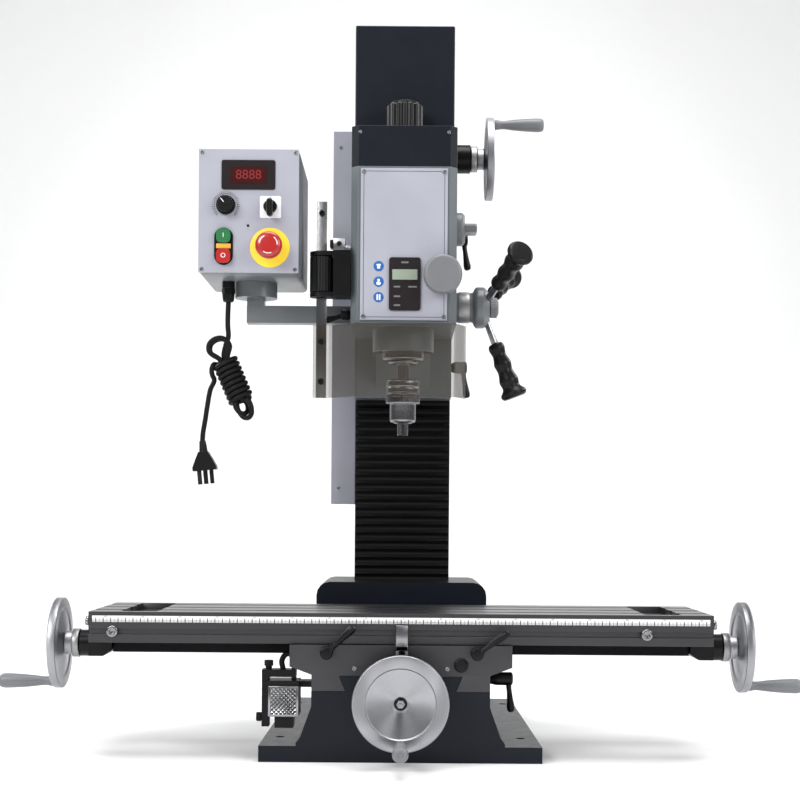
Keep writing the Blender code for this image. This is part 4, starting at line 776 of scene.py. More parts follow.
class MILL_OT_screws(bpy.types.Operator):
    """Cuts the thread on the three leadscrews"""
    bl_idname = "mill.screws"
    bl_label = "Leadscrews"
    bl_options = {"REGISTER", "UNDO"}

    def execute(self, context):
        for node, axis in (("x_leadscrew", RIGHT), ("y_leadscrew", -FRONT)):
            low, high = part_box(node)
            middle = (low + high) / 2
            half = (high - low).dot(axis) / 2
            rod = Shape().lathe([(0, -half), (SCREW_RADIUS, -half), (SCREW_RADIUS, half), (0, half)])
            rod.done(f"{node}_thread", "thread", node, (node,), aim(middle, axis))
        low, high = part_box("z_leadscrew")
        spot = Vector((0, CRANK_DEPTH, low.z))
        tall = high.z - low.z
        post = Shape().lathe([(0, 0), (SCREW_RADIUS, 0), (SCREW_RADIUS, tall - 0.0120),
                              (0.0200, tall - 0.0120), (0.0200, tall - 0.0080), (0.0120, tall), (0, tall)])
        post.done("z_leadscrew_thread", "thread", "z_leadscrew", ("z_leadscrew",), aim(spot, UP))
        return {"FINISHED"}


# ---------------------------------------------------------------- spindle and feed
class MILL_OT_spindle(bpy.types.Operator):
    """Turns the quill, the spindle nose and the keyless chuck"""
    bl_idname = "mill.spindle"
    bl_label = "Spindle"
    bl_options = {"REGISTER", "UNDO"}

    def execute(self, context):
        low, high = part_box("quill")
        tall = high.z - low.z
        quill = [(0.0165, 0), (0.0265, 0), (0.0290, 0.0025), (0.0290, tall), (0.0165, tall)]
        Shape().lathe(quill).done("quill_turned", "steel", "quill", ("quill",), aim((0, 0, low.z), UP))
        nose = [(0, 0.5062), (0.0090, 0.5062), (0.0090, 0.5430), (0.0190, 0.5430), (0.0210, 0.5450),
                (0.0210, 0.5477), (0.0162, 0.5477), (0.0162, 0.7680), (0.0100, 0.7680), (0.0100, 0.8500),
                (0, 0.8500)]
        Shape().lathe(nose).done("spindle_turned", "steel", "spindle", ("spindle",))
        chuck = Shape()
        chuck.lathe([(0, 0.5059), (0.0092, 0.5059), (0.0092, 0.5220), (0.0205, 0.5220), (0.0235, 0.5190),
                     (0.0235, 0.5120), (0.0228, 0.5112), (0.0228, 0.5100), (0.0235, 0.5092), (0.0235, 0.5023),
                     (0.0140, 0.5023), (0.0140, 0.4612), (0.0110, 0.4590), (0, 0.4590)])
        for number in range(3):
            turn = math.radians(90 + 120 * number)
            place = Matrix.Rotation(turn, 4, "Z") @ aim((0.0052, 0, 0.4430), UP)
            chuck.extrude(pill(0.0048, 0.0056, 0.0009, 3), 0, 0.0190, place, 0.0006)
        chuck.done("chuck_turned", "steel", "chuck_body", ("chuck_body",))
        sleeve = Shape()
        sleeve.lathe([(0.0142, 0.4610), (0.0163, 0.4610), (0.0183, 0.4640), (0.0183, 0.4870),
                      (0.0225, 0.4880), (0.0142, 0.4880)])
        sleeve.extrude(ribbed(0.0240, 0.0006, 40), 0.4885, 0.5010, soft=0.0008)
        sleeve.lathe([(0.0142, 0.4872), (0.0232, 0.4872), (0.0236, 0.4890), (0.0232, 0.5019),
                      (0.0142, 0.5019)])
        sleeve.done("sleeve_turned", "steel", "chuck_sleeve", ("chuck_sleeve",))
        ring = [(0.0292, 0.5596), (0.0420, 0.5596), (0.0425, 0.5602), (0.0425, 0.5625), (0.0292, 0.5625)]
        Shape().lathe(ring).done("boss_ring", "steel", "head_casting")
        return {"FINISHED"}


class MILL_OT_down_feed(bpy.types.Operator):
    """Turns the three-armed feed hub, its grips, the clutch knob and the gear selector"""
    bl_idname = "mill.down_feed"
    bl_label = "Down feed"
    bl_options = {"REGISTER", "UNDO"}

    def execute(self, context):
        seat = Vector((0, FEED_DEPTH, FEED_HEIGHT))
        hub = [(0, -0.020), (0.0070, -0.020), (0.0070, 0.0725), (0.0210, 0.0725), (0.0210, 0.0990),
               (0.0262, 0.1012), (0.0295, 0.1040), (0.0295, 0.1150), (0.0250, 0.1195), (0.0205, 0.1230),
               (0, 0.1230)]
        Shape().lathe(hub, corner=0.0020).done("feed_hub_turned", "die_cast", "feed_hub", ("feed_hub",),
                                               aim(seat, RIGHT))
        dial = [(0.0205, 0.0780), (0.0222, 0.0784), (0.0222, 0.0940), (0.0205, 0.0944)]
        Shape().lathe(dial, corner=0.0003).done("feed_dial", "dial", "feed_hub", (), aim(seat, RIGHT))
        root = Vector((0.112, FEED_DEPTH, FEED_HEIGHT))
        tilt = math.radians(21)
        for number, turn in enumerate((-90, 30, 150), 1):
            angle = math.radians(turn)
            reach = (math.sin(tilt), math.cos(tilt) * math.cos(angle), math.cos(tilt) * math.sin(angle))
            rod = Shape().lathe([(0, 0.012), (0.0050, 0.012), (0.0050, 0.0547), (0, 0.0547)], steps=32)
            rod.done(f"feed_rod_{number}", "steel", "feed_hub", (), aim(root, reach))
            grip = [(0, 0.0550), (0.0092, 0.0550), (0.0112, 0.0585), (0.0118, 0.0625), (0.0105, 0.0680),
                    (0.0095, 0.0730), (0.0112, 0.0800), (0.0128, 0.0850), (0.0116, 0.0915), (0.0106, 0.0975),
                    (0.0124, 0.1050), (0.0143, 0.1110), (0.0130, 0.1170), (0.0124, 0.1215), (0.0150, 0.1255),
                    (0.0188, 0.1290), (0.0188, 0.1335), (0.0160, 0.1370), (0, 0.1370)]
            name = f"feed_grip_{number}"
            Shape().lathe(grip, corner=0.003).done(f"{name}_turned", "black_plastic", name, (name,),
                                                   aim(root, reach))
        knob = Shape().extrude(ribbed(0.0145, 0.0008, 24), 0.0004, 0.0110, soft=0.0012)
        knob.lathe([(0, 0.010), (0.0110, 0.010), (0.0110, 0.0127), (0, 0.0127)], corner=0.0012)
        knob.done("clutch_ribs", "grey_plastic", "feed_clutch_knob", ("feed_clutch_knob",),
                  aim((0.1233, FEED_DEPTH, FEED_HEIGHT), RIGHT))
        selector = Shape().lathe([(0, 0.0002), (0.0235, 0.0002), (0.0235, 0.0100), (0.0195, 0.0140),
                                  (0, 0.0140)], corner=0.0015)
        selector.extrude(pill(0.0120, 0.0410, 0.0055), 0.0120, 0.0308, soft=0.0020)
        selector.done("selector_turned", "grey_plastic", "gear_selector", ("gear_selector",),
                      aim((0.0723, 0.020, 0.7375), RIGHT) @ Matrix.Rotation(math.pi / 2, 4, "Z"))
        return {"FINISHED"}


# ---------------------------------------------------------------- clamps and table details
class MILL_OT_clamps(bpy.types.Operator):
    """Turns the six locking levers"""
    bl_idname = "mill.clamps"
    bl_label = "Locking levers"
    bl_options = {"REGISTER", "UNDO"}

    def execute(self, context):
        left, right = math.radians(44), math.radians(36)
        # Each lever: its node, seat, facing, hub length and radius, then its handle's direction and length.
        levers = (("x_clamp_left", (-0.099, -0.1153, 0.147), FRONT, 0.018, 0.0085,
                   (math.cos(left), -0.15, math.sin(left)), 0.052),
                  ("x_clamp_right", (0.1015, -0.1153, 0.147), FRONT, 0.018, 0.0085,
                   (math.cos(right), -0.15, math.sin(right)), 0.052),
                  ("y_clamp", (0.1198, -0.060, 0.108), RIGHT, 0.034, 0.009, (0.10, 0, -1), 0.046),
                  ("z_clamp_upper", (0.0723, 0.150, 0.745), RIGHT, 0.024, 0.009, (0.15, 0, -1), 0.046),
                  ("z_clamp_lower", (0.0723, 0.150, 0.553), RIGHT, 0.024, 0.009, (0.15, 0, -1), 0.046),
                  ("quill_clamp", (-0.0723, -0.046, 0.607), -RIGHT, 0.014, 0.008, (-1, 0, -0.28), 0.030))
        for node, seat, out, hub_length, hub_radius, handle, length in levers:
            lever = Shape()
            lever.lathe([(0, 0.0003), (hub_radius * 0.75, 0.0003), (hub_radius, hub_length * 0.35),
                         (hub_radius, hub_length * 0.95), (hub_radius * 0.6, hub_length), (0, hub_length)],
                        aim(seat, out), 48, 0.0015)
            root = Vector(seat) + out * (hub_length - hub_radius * 0.75)
            lever.lathe([(0, 0), (0.0042, 0), (0.0034, length * 0.35), (0.0042, length * 0.60),
                         (0.0056, length * 0.86), (0.0046, length * 0.97), (0.0020, length), (0, length)],
                        aim(root, handle), 32, 0.003)
            lever.done(f"{node}_turned", "black_paint", node, (node,))
        return {"FINISHED"}


class MILL_OT_table_details(bpy.types.Operator):
    """Fits the table's rule, stops and pointer, and the saddle's oil plug"""
    bl_idname = "mill.table_details"
    bl_label = "Table details"
    bl_options = {"REGISTER", "UNDO"}

    def execute(self, context):
        low, high = (-0.415, TABLE_FRONT - 0.0005, 0.1850), (0.415, TABLE_FRONT + 0.0001, 0.1935)
        strip = Shape().slab(low, high, 0.0001)
        strip.done("table_rule", "ruler", "table_top")
        figures = Shape()
        for mark in range(-400, 401, 50):
            figures.words(str(abs(mark)), 0.0026, (mark / 1000 + 0.0032, TABLE_FRONT - 0.00055, 0.1921))
        figures.done("rule_figures", "print", "table_top")
        stops = Shape()
        for x in (-0.388, 0.330):
            stops.lathe([(0, 0), (0.0080, 0), (0.0080, 0.0055), (0.0068, 0.0070), (0.0034, 0.0070),
                         (0.0034, 0.0030), (0, 0.0030)], aim((x, TABLE_FRONT + 0.004, 0.1725), FRONT), 48)
        stops.done("table_stops", "steel", "table_top")
        pointer = Shape().slab((-0.0067, -0.1190, 0.1400), (0.0090, -0.1152, 0.1560), 0.0006)
        pointer.slab((-0.0067, -0.1190, 0.1500), (0.0090, -0.1165, 0.1840), 0.0006)
        pointer.done("rule_pointer", "aluminium", "saddle_casting")
        fixing = Shape().screw((0.0012, -0.1189, 0.1475), FRONT, 0.0045, 0.0040)
        fixing.done("pointer_screw", "black_paint", "saddle_casting")
        plug = Shape().lathe([(0, 0), (0.0095, 0), (0.0095, 0.0030), (0.0078, 0.0042), (0, 0.0042)],
                             aim((0.0805, SADDLE_FRONT, 0.1310), FRONT), 48)
        plug.done("saddle_plug", "black_plastic", "saddle_casting")
        wipers = Shape()
        for side in (-1, 1):
            wipers.screw((side * 0.062, SADDLE_FRONT, 0.1260), FRONT, 0.0032, 0.0016)
        wipers.done("saddle_screws", "steel", "saddle_casting")
        return {"FINISHED"}


class MILL_OT_bellows(bpy.types.Operator):
    """Pleats the way cover, which stays in place and does not follow the head"""
    bl_idname = "mill.bellows"
    bl_label = "Bellows"
    bl_options = {"REGISTER", "UNDO"}

    def execute(self, context):
        low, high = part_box("bellows")
        pleats, samples, depth, thick = 22, 8, 0.0050, 0.0012
        shape = Shape()
        rings = []
        for i in range(pleats * samples + 1):
            phase = i / samples
            fold = (0.5 - 0.5 * math.cos(math.tau * phase)) ** 0.6
            y = low.y + depth * fold
            z = low.z + (high.z - low.z) * i / (pleats * samples)
            half = high.x - 0.0002
            corners = [(-half, y), (half, y), (half, y + thick + 0.006), (-half, y + thick + 0.006)]
            rings.append([shape.bm.verts.new((cx, min(cy, high.y), z)) for cx, cy in corners])
        shape.skin(rings)
        shape.bm.faces.new(rings[0])
        shape.bm.faces.new(rings[-1])
        pleated = shape.done("bellows_pleats", "rubber", None, angle=50.0)
        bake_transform(pleated)
        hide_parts("bellows")
        return {"FINISHED"}


# ---------------------------------------------------------------- guard and control box
class MILL_OT_guard(bpy.types.Operator):
    """Makes the smoky chip guard, its bar, ribbed collar and hinge block"""
    bl_idname = "mill.guard"
    bl_label = "Chip guard"
    bl_options = {"REGISTER", "UNDO"}

    def execute(self, context):
        finish = context.scene.mill_finish
        soften("guard_shield", "smoky", 0.0004)
        soften("guard_hinge_block", "black_paint", finish.sheet_edge)
        axis = Vector((-0.112, -0.070, 0))
        bar = Shape().slab((-0.119, -0.072, 0.490), (-0.105, -0.068, 0.758), 0.0006)
        bar.done("guard_bar_drawn", "steel", "guard_bar", ("guard_bar",))
        collar = Shape().extrude(ribbed(0.016, 0.0012, 20), 0.6335, 0.6825, Matrix.Translation(axis), 0.0012)
        collar.done("guard_collar_ribs", "black_plastic", "guard_bar")
        screws = Shape()
        for z in (0.512, 0.567):
            screws.screw((-0.112, -0.0753, z), FRONT, 0.0042, 0.0022)
        screws.screw((-0.112, -0.0720, 0.742), FRONT, 0.0040, 0.0024)
        screws.done("guard_screws", "black_paint", "guard_bar")
        bracket = Shape().slab((-0.0955, -0.0880, 0.6893), (-0.0800, -0.0560, 0.7060), 0.0008)
        bracket.slab((-0.0810, -0.0860, 0.6900), (-0.0723, -0.0580, 0.6960), 0.0006)
        bracket.done("guard_bracket", "aluminium", "guard_hinge_block")
        switch = Shape().slab((-0.1005, -0.0840, 0.6940), (-0.0950, -0.0600, 0.7040), 0.0008)
        switch.screw((-0.0875, -0.0880, 0.6980), FRONT, 0.0034, 0.0020)
        switch.done("guard_switch", "black_plastic", "guard_hinge_block")
        return {"FINISHED"}


class MILL_OT_control_box(bpy.types.Operator):
    """Makes the swivelling control box, its printed lid, knobs and buttons"""
    bl_idname = "mill.control_box"
    bl_label = "Control box"
    bl_options = {"REGISTER", "UNDO"}

    def execute(self, context):
        soften("control_box", "die_cast", 0.0012)
        soften("control_arm", "die_cast", 0.0015)
        soften("control_lid", "pale", 0.0008)

        def on_lid(x, z, turn=0.0):
            return aim((x, LID_FRONT, z), FRONT) @ Matrix.Rotation(turn, 4, "Z")

        def flat(name, look, outline, x, z, rise=0.0006, low=0.0):
            shape = Shape().extrude(outline, low, rise, on_lid(x, z), min(0.0002, (rise - low) / 3))
            return shape.done(name, look, "control_lid")

        flat("display_bezel", "display", pill(0.0719, 0.0396, 0.003), -0.2085, 0.7846, 0.0014)
        flat("display_window", "window", pill(0.0478, 0.0218, 0.001), -0.2083, 0.7841, 0.0018, 0.0008)
        figures = Shape().words("8888", 0.0175, (-0.2083, LID_FRONT - 0.0019, 0.7843))
        figures.done("display_figures", "digits", "control_lid")
        flat("switch_plate", "white", pill(0.0281, 0.0294, 0.002), -0.1789, 0.7418, 0.0004)
        flat("push_bezel", "black_plastic", pill(0.0250, 0.0500, 0.0124), -0.2411, 0.6889, 0.0016)
        rim = [(0, 0), (0.0265, 0), (0.0265, 0.0005), (0, 0.0005)]
        disc = Shape().lathe(rim, on_lid(-0.1792, 0.6876), 96, 0.0001)
        disc.done("stop_disc", "yellow", "control_lid")
        lamp = Shape().extrude(pill(0.0192, 0.0062, 0.0010), 0.0010, 0.0040, on_lid(-0.2411, 0.6890), 0.0005)
        lamp.done("power_lamp", "orange", "control_lid")
        screws = Shape()
        for x in (-0.2705, -0.1455):
            for z in (0.6585, 0.8145):
                screws.screw((x, LID_FRONT, z), FRONT, 0.0026, 0.0013)
        screws.done("lid_screws", "steel", "control_lid")
        trim = Shape().screw((-0.2087, LID_FRONT, 0.7168), FRONT, 0.0018, 0.0008)
        trim.done("trim_screw", "print", "control_lid")
        arc = Shape()
        middle_x, middle_z = SPEED_SPOT
        for i in range(29):
            turn = math.radians(-135 + 270 * i / 28)
            spot = (middle_x + 0.0176 * math.sin(turn), middle_z + 0.0176 * math.cos(turn))
            long = 0.0036 if i % 4 == 0 else 0.0022
            arc.extrude(pill(0.0007, long, 0.0003, 1), 0, 0.0001, on_lid(*spot, turn), 0)
        for i in range(41):
            turn = math.radians(-135 + 270 * i / 40)
            spot = (middle_x + 0.0155 * math.sin(turn), middle_z + 0.0155 * math.cos(turn))
            arc.extrude(pill(0.0019, 0.0006, 0.0002, 1), 0, 0.0001, on_lid(*spot, turn), 0)
        arc.words("0", 0.0055, (-0.1790, LID_FRONT - 0.0005, 0.7535))
        arc.done("lid_printing", "print", "control_lid")

        speed = Shape().lathe([(0, -0.0070), (0.0040, -0.0070), (0.0040, 0.0006), (0.0130, 0.0006),
                               (0.0130, 0.0040), (0, 0.0040)])
        speed.extrude(ribbed(0.0112, 0.0010, 18), 0.0035, 0.0158, soft=0.0012)
        speed.done("speed_knob_ribs", "black_plastic", "speed_knob", ("speed_knob",), on_lid(*SPEED_SPOT))
        setting = Matrix.Rotation(math.radians(40), 4, "Z") @ Matrix.Translation((0, 0.0052, 0))
        line = Shape().extrude(pill(0.0009, 0.0070, 0.0003, 2), 0.0157, 0.0160, setting, 0.0001)
        line.done("speed_knob_line", "white", "speed_knob", (), on_lid(*SPEED_SPOT))
        switch = Shape().lathe([(0, -0.0070), (0.0040, -0.0070), (0.0040, 0.0006), (0.0090, 0.0006),
                                (0.0090, 0.0060), (0, 0.0060)])
        off_middle = Matrix.Translation((0, -0.0025, 0))
        switch.extrude(pill(0.0080, 0.0230, 0.0035), 0.0040, 0.0170, off_middle, 0.0016)
        switch.done("direction_switch_turned", "black_plastic", "direction_switch", ("direction_switch",),
                    on_lid(-0.179, 0.742))
        buttons = (("start_button", "green", 0.7025, "I"), ("stop_button", "red", 0.6755, "O"))
        for node, look, z, letter in buttons:
            push = Shape().lathe([(0, -0.0070), (0.0094, -0.0070), (0.0094, 0.0050), (0, 0.0050)])
            push.extrude(pill(0.0192, 0.0192, 0.0065), 0.0046, 0.0074, soft=0.0006)
            push.done(f"{node}_turned", look, node, (node,), on_lid(-0.241, z))
            Shape().words(letter, 0.0085, (-0.241, LID_FRONT - 0.0076, z)).done(f"{node}_mark", "white", node)
        mushroom = [(0, -0.0070), (0.0090, -0.0070), (0.0090, 0.0140), (0.0168, 0.0170), (0.0180, 0.0190),
                    (0.0180, 0.0240), (0.0160, 0.0280), (0.0110, 0.0298), (0, 0.0300)]
        Shape().lathe(mushroom, corner=0.002).done("estop_turned", "red", "estop_button", ("estop_button",),
                                                   on_lid(*STOP_SPOT))
        arrows = Shape()
        for i in range(3):
            turn = math.tau * i / 3
            for step in range(9):
                angle = turn + math.radians(6 * step)
                place = Matrix.Translation((0.0118 * math.cos(angle), 0.0118 * math.sin(angle), 0.0294))
                turned = place @ Matrix.Rotation(angle, 4, "Z")
                arrows.extrude(pill(0.0014, 0.0016, 0.0005, 1), 0, 0.0005, turned, 0)
        arrows.done("estop_arrows", "white", "estop_button", (), on_lid(*STOP_SPOT))
        return {"FINISHED"}


class MILL_OT_lamp(bpy.types.Operator):
    """Makes the small machine lamp on the saddle and the hose to it"""
    bl_idname = "mill.lamp"
    bl_label = "Work lamp"
    bl_options = {"REGISTER", "UNDO"}

    def execute(self, context):
        scene = context.scene
        finish = context.scene.mill_finish
        soften("work_lamp", "black_paint", finish.sheet_edge * 1.2)
        case = Shape().slab((-0.1782, -0.1030, 0.0590), (-0.1372, -0.0985, 0.1000), 0.0012)
        case.done("lamp_bezel", "aluminium", "work_lamp")
        lens = Shape().slab((-0.1752, -0.1042, 0.0620), (-0.1402, -0.1010, 0.0970), 0.0008)
        lens.done("lamp_lens", "lattice", "work_lamp")
        knobs = Shape()
        knobs.extrude(ribbed(0.0062, 0.0006, 12), 0, 0.0080, aim((-0.1795, -0.078, 0.1250), UP), 0.0008)
        knobs.extrude(ribbed(0.0062, 0.0006, 12), 0, 0.0070, aim((-0.1960, -0.078, 0.0560), RIGHT), 0.0008)
        knobs.done("lamp_knobs", "black_plastic", "work_lamp")
        hose = bpy.data.curves.new("lamp_hose", "CURVE")
        hose.dimensions = "3D"
        hose.bevel_depth = 0.0038
        hose.bevel_resolution = 6
        line = hose.splines.new("BEZIER")
        path = ((-0.1600, -0.078, 0.1200), (-0.1612, -0.078, 0.1340), (-0.1530, -0.078, 0.1420),
                (-0.1490, -0.078, 0.1400))
        line.bezier_points.add(len(path) - 1)
        for point, spot in zip(line.bezier_points, path):
            point.co = spot
            point.handle_left_type = point.handle_right_type = "AUTO"
        hose.materials.append(coat("rubber"))
        obj = bpy.data.objects.new("lamp_hose", hose)
        scene.collection.objects.link(obj)
        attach(obj, NODES["work_lamp"]["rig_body"])
        return {"FINISHED"}


# ---------------------------------------------------------------- cord
HANK_START = Vector((-0.2620, CORD_DEPTH, 0.5770))
HANK_ALONG = Vector((0.3954, 0, -0.9185))
HANK_ACROSS = Vector((0.9185, 0, 0.3954))
CORD_EXIT = (-0.2430, CORD_DEPTH, 0.6247)
# In millimetres: how far each outer strand lies off the hank's middle, and its places along the hank.
STRAND = 5.2
ALONG_STRAND = (33, 45, 60, 75, 88)
WRAP_STEPS = 24


def in_hank(along, across, deep):
    """A place in the hank, in millimetres down it, across it and towards the back."""
    return HANK_START + (HANK_ALONG * along + HANK_ACROSS * across + Vector((0, 1, 0)) * deep) / 1000


def bight(start, end, far, legs, spread):
    """The turn-back from one strand to the next: out along the line between them, around and in again."""
    middle, away = (start + end) / 2, (end - start).normalized()
    rise = 1 if far > spread else -1
    points = []
    for side, height in ((-legs, 0.25), (-legs * 0.94, 0.60), (-legs * 0.62, 0.88), (0, 1.0),
                         (legs * 0.62, 0.88), (legs * 0.94, 0.60), (legs, 0.25)):
        across = middle + away * side
        points.append((spread + rise * abs(far - spread) * height, across.x, across.y))
    return points


def hank_route(cord):
    """The cord's line from the gland to its plug."""
    corners = ((0, 0), (-STRAND, -STRAND), (STRAND, -STRAND), (-STRAND, STRAND), (STRAND, STRAND))
    strands = [Vector(corner) for corner in corners]
    places = [(7.8, 17.6, 0), (18, 9, 0), (30, 1.5, 0), (45, 0, 0), (60, 0, 0), (75, 0, 0), (90, 0, 0)]
    places += bight(strands[0], strands[1], 115, 10.5, 97)
    places += [(along, -STRAND, -STRAND) for along in reversed(ALONG_STRAND)]
    places += [(a, b, c - 2.6) for a, b, c in bight(strands[1], strands[2], 4.5, 14, 24)]
    places += [(along, STRAND, -STRAND) for along in ALONG_STRAND]
    places += bight(strands[2], strands[3], 122, 14, 97)
    places += [(along, -STRAND, STRAND) for along in reversed(ALONG_STRAND)]
    places += [(a, b, c + 2.6) for a, b, c in bight(strands[3], strands[4], 4.5, 14, 24)]
    places += [(along, STRAND, STRAND) for along in ALONG_STRAND[:-1]]
    places += [(82, 5.4, 5.4), (88, 7.8, 4.4), (93, 11.2, 4.6)]
    radius, pitch = cord.wrap_radius * 1000, cord.wrap_pitch * 1000
    turns = cord.wraps + 0.375
    for i in range(int(turns * WRAP_STEPS) + 1):
        turn = i / WRAP_STEPS
        angle = math.pi / 4 + math.tau * turn
        places.append((96.5 - pitch * turn, radius * math.cos(angle), radius * math.sin(angle)))
    route = [Vector(CORD_EXIT), Vector((-0.2436, CORD_DEPTH, 0.6080)), Vector((-0.2436, CORD_DEPTH, 0.5920))]
    route += [in_hank(*place) for place in places]
    route += [in_hank(37.5, -18, -4.8), in_hank(43, -21.8, -4.4), in_hank(49, -23.5, -1.5)]
    for x, z in ((-0.2618, 0.5165), (-0.2672, 0.5030), (-0.2712, 0.4805), (-0.2740, 0.4610),
                 (-0.2768, 0.4440), (-0.2778, 0.4290)):
        route.append(Vector((x, CORD_DEPTH, z)))
    return route


def flowing(points, step=0.0015):
    """An evenly spaced smooth line through the points."""
    dense = []
    ends = [points[0] * 2 - points[1]] + points + [points[-1] * 2 - points[-2]]
    for a, b, c, d in zip(ends, ends[1:], ends[2:], ends[3:]):
        count = max(2, int((c - b).length / step * 2))
        knots = [0.0]
        for start, end in ((a, b), (b, c), (c, d)):
            knots.append(knots[-1] + max((end - start).length, 1e-6) ** 0.5)
        for i in range(count):
            t = knots[1] + (knots[2] - knots[1]) * i / count
            first = [a.lerp(b, (t - knots[0]) / (knots[1] - knots[0])),
                     b.lerp(c, (t - knots[1]) / (knots[2] - knots[1])),
                     c.lerp(d, (t - knots[2]) / (knots[3] - knots[2]))]
            second = [first[0].lerp(first[1], (t - knots[0]) / (knots[2] - knots[0])),
                      first[1].lerp(first[2], (t - knots[1]) / (knots[3] - knots[1]))]
            dense.append(second[0].lerp(second[1], (t - knots[1]) / (knots[2] - knots[1])))
    dense.append(points[-1])
    even, walked = [dense[0]], 0.0
    for start, end in zip(dense, dense[1:]):
        walked += (end - start).length
        if walked >= step:
            even.append(end)
            walked = 0.0
    even[-1] = dense[-1]
    return even


class MILL_OT_cord(bpy.types.Operator):
    """Lays the mains cord in its hank, with its gland and plug"""
    bl_idname = "mill.cord"
    bl_label = "Mains cord"
    bl_options = {"REGISTER", "UNDO"}

    def execute(self, context):
        scene = context.scene
        cord = scene.mill_cord
        line = flowing(hank_route(cord))
        curve = bpy.data.curves.new("mains_cord", "CURVE")
        curve.dimensions = "3D"
        curve.bevel_depth = cord.diameter / 2
        curve.bevel_resolution = 5
        curve.use_fill_caps = True
        spline = curve.splines.new("POLY")
        spline.points.add(len(line) - 1)
        for point, spot in zip(spline.points, line):
            point.co = (*spot, 1.0)
        spline.use_smooth = True
        curve.materials.append(coat("rubber"))
        obj = bpy.data.objects.new("mains_cord", curve)
        scene.collection.objects.link(obj)
        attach(obj, NODES["cord_hank"]["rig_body"])
        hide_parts("cord_lead", "cord_hank", "cord_tail")
        plug = soften("plug", "black_plastic", 0.0010)
        fitting = Shape().lathe([(0, 0), (0.0062, 0), (0.0078, 0.0020), (0.0086, 0.0100), (0.0086, 0.0115),
                                 (0, 0.0115)])
        fitting.extrude(hexagon(0.00925), 0.0110, 0.0200, soft=0.0010)
        fitting.lathe([(0, 0.0195), (0.0088, 0.0195), (0.0088, 0.0280), (0, 0.0280)])
        gland = fitting.done("gland_turned", "black_plastic", "cable_gland", ("cable_gland",),
                             aim(CORD_EXIT, UP))
        return {"FINISHED"}


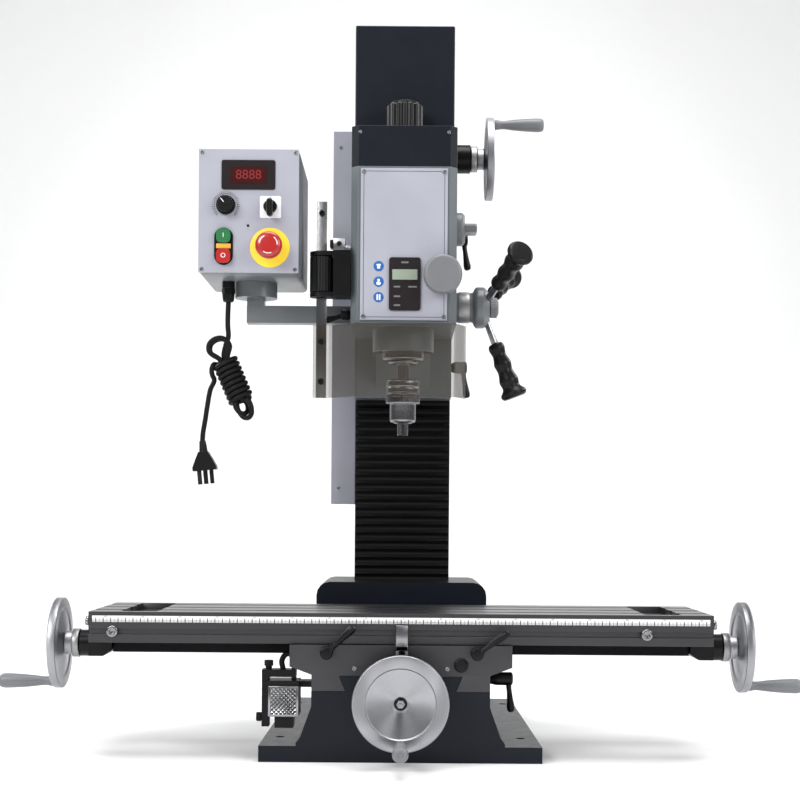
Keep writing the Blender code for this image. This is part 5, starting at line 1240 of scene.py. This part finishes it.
# ---------------------------------------------------------------- stage
class MILL_OT_stage(bpy.types.Operator):
    """Sets the floor, the lamps and the camera"""
    bl_idname = "mill.stage"
    bl_label = "Stage"
    bl_options = {"REGISTER", "UNDO"}

    def execute(self, context):
        scene = context.scene
        stage = scene.mill_stage
        backdrop = bmesh.new()
        near, bend, radius, steps, wall_top, half_width = -4.0, 1.6, 1.2, 16, 5.0, 5.0
        line = [(near, 0.0), (bend, 0.0)]
        for i in range(1, steps + 1):
            turn = math.pi / 2 * i / steps
            line.append((bend + radius * math.sin(turn), radius - radius * math.cos(turn)))
        line.append((bend + radius, wall_top))
        levels = [[backdrop.verts.new((x, y, z)) for x in (-half_width, half_width)] for y, z in line]
        for low, high in zip(levels, levels[1:]):
            backdrop.faces.new((low[0], low[1], high[1], high[0]))
        mesh = bpy.data.meshes.new("backdrop")
        backdrop.to_mesh(mesh)
        backdrop.free()
        mesh.shade_smooth()
        mesh.materials.append(coat("floor"))
        floor = bpy.data.objects.new("backdrop", mesh)
        scene.collection.objects.link(floor)
        power = stage.key_power
        middle = Vector((0, 0, 0.45))
        lights = (("key", (-1.9, -2.3, 2.1), 1.7, power),
                  ("fill", (2.1, -2.0, 1.5), 1.6, power * 0.55),
                  ("top", (0.0, -0.2, 2.7), 1.8, power * 0.75),
                  ("back_left", (-1.9, 1.0, 1.7), 1.0, power * 0.30),
                  ("back_right", (1.9, 1.0, 1.7), 1.0, power * 0.30))
        for name, spot, size, watts in lights:
            light = bpy.data.lights.new(name, "AREA")
            light.shape = "RECTANGLE"
            light.size = size
            light.size_y = size * 0.8
            light.energy = watts
            lamp = bpy.data.objects.new(name, light)
            scene.collection.objects.link(lamp)
            lamp.location = spot
            lamp.rotation_euler = (middle - Vector(spot)).to_track_quat("-Z", "Y").to_euler()
        world = bpy.data.worlds.new("studio")
        world.use_nodes = True
        sky = world.node_tree.nodes["Background"]
        sky.inputs["Color"].default_value = (0.95, 0.97, 1.0, 1.0)
        sky.inputs["Strength"].default_value = 0.20
        scene.world = world
        scene.view_settings.view_transform = "Standard"
        lens = bpy.data.cameras.new("camera")
        lens.lens = stage.lens
        lens.sensor_width = 36.0
        lens.shift_x = -0.0025
        lens.shift_y = 0.139
        camera = bpy.data.objects.new("camera", lens)
        scene.collection.objects.link(camera)
        camera.matrix_world = (Matrix.Translation((0, -stage.distance, stage.height))
                               @ Matrix.Rotation(math.pi / 2, 4, "X") @ Matrix.Rotation(stage.roll, 4, "Z"))
        scene.camera = camera
        return {"FINISHED"}


STEPS = (MILL_OT_castings, MILL_OT_covers, MILL_OT_panel, MILL_OT_wheels, MILL_OT_screws, MILL_OT_spindle,
         MILL_OT_down_feed, MILL_OT_clamps, MILL_OT_table_details, MILL_OT_bellows, MILL_OT_guard,
         MILL_OT_control_box, MILL_OT_lamp, MILL_OT_cord, MILL_OT_stage)
GROUPS = (("mill_finish", MillFinish), ("mill_colours", MillColours), ("mill_cord", MillCord),
          ("mill_stage", MillStage))


class MILL_PT_looks(bpy.types.Panel):
    """Every setting and step of the dressing"""
    bl_idname = "MILL_PT_looks"
    bl_label = "Mill looks"
    bl_space_type = "VIEW_3D"
    bl_region_type = "UI"
    bl_category = "Mill"

    def draw(self, context):
        for attribute, group in GROUPS:
            box = self.layout.box()
            for word in group.__annotations__:
                box.prop(getattr(context.scene, attribute), word)
        for step in STEPS:
            self.layout.operator(step.bl_idname)


def register():
    for attribute, group in GROUPS:
        bpy.utils.register_class(group)
        setattr(bpy.types.Scene, attribute, bpy.props.PointerProperty(type=group))
    for kind in STEPS + (MILL_PT_looks,):
        bpy.utils.register_class(kind)


def unregister():
    for kind in (MILL_PT_looks,) + STEPS:
        bpy.utils.unregister_class(kind)
    for attribute, group in GROUPS:
        delattr(bpy.types.Scene, attribute)
        bpy.utils.unregister_class(group)


def main():
    """Runs every step in order."""
    register()
    for step in STEPS:
        family, word = step.bl_idname.split(".")
        getattr(getattr(bpy.ops, family), word)()


if __name__ == "__main__":
    main()
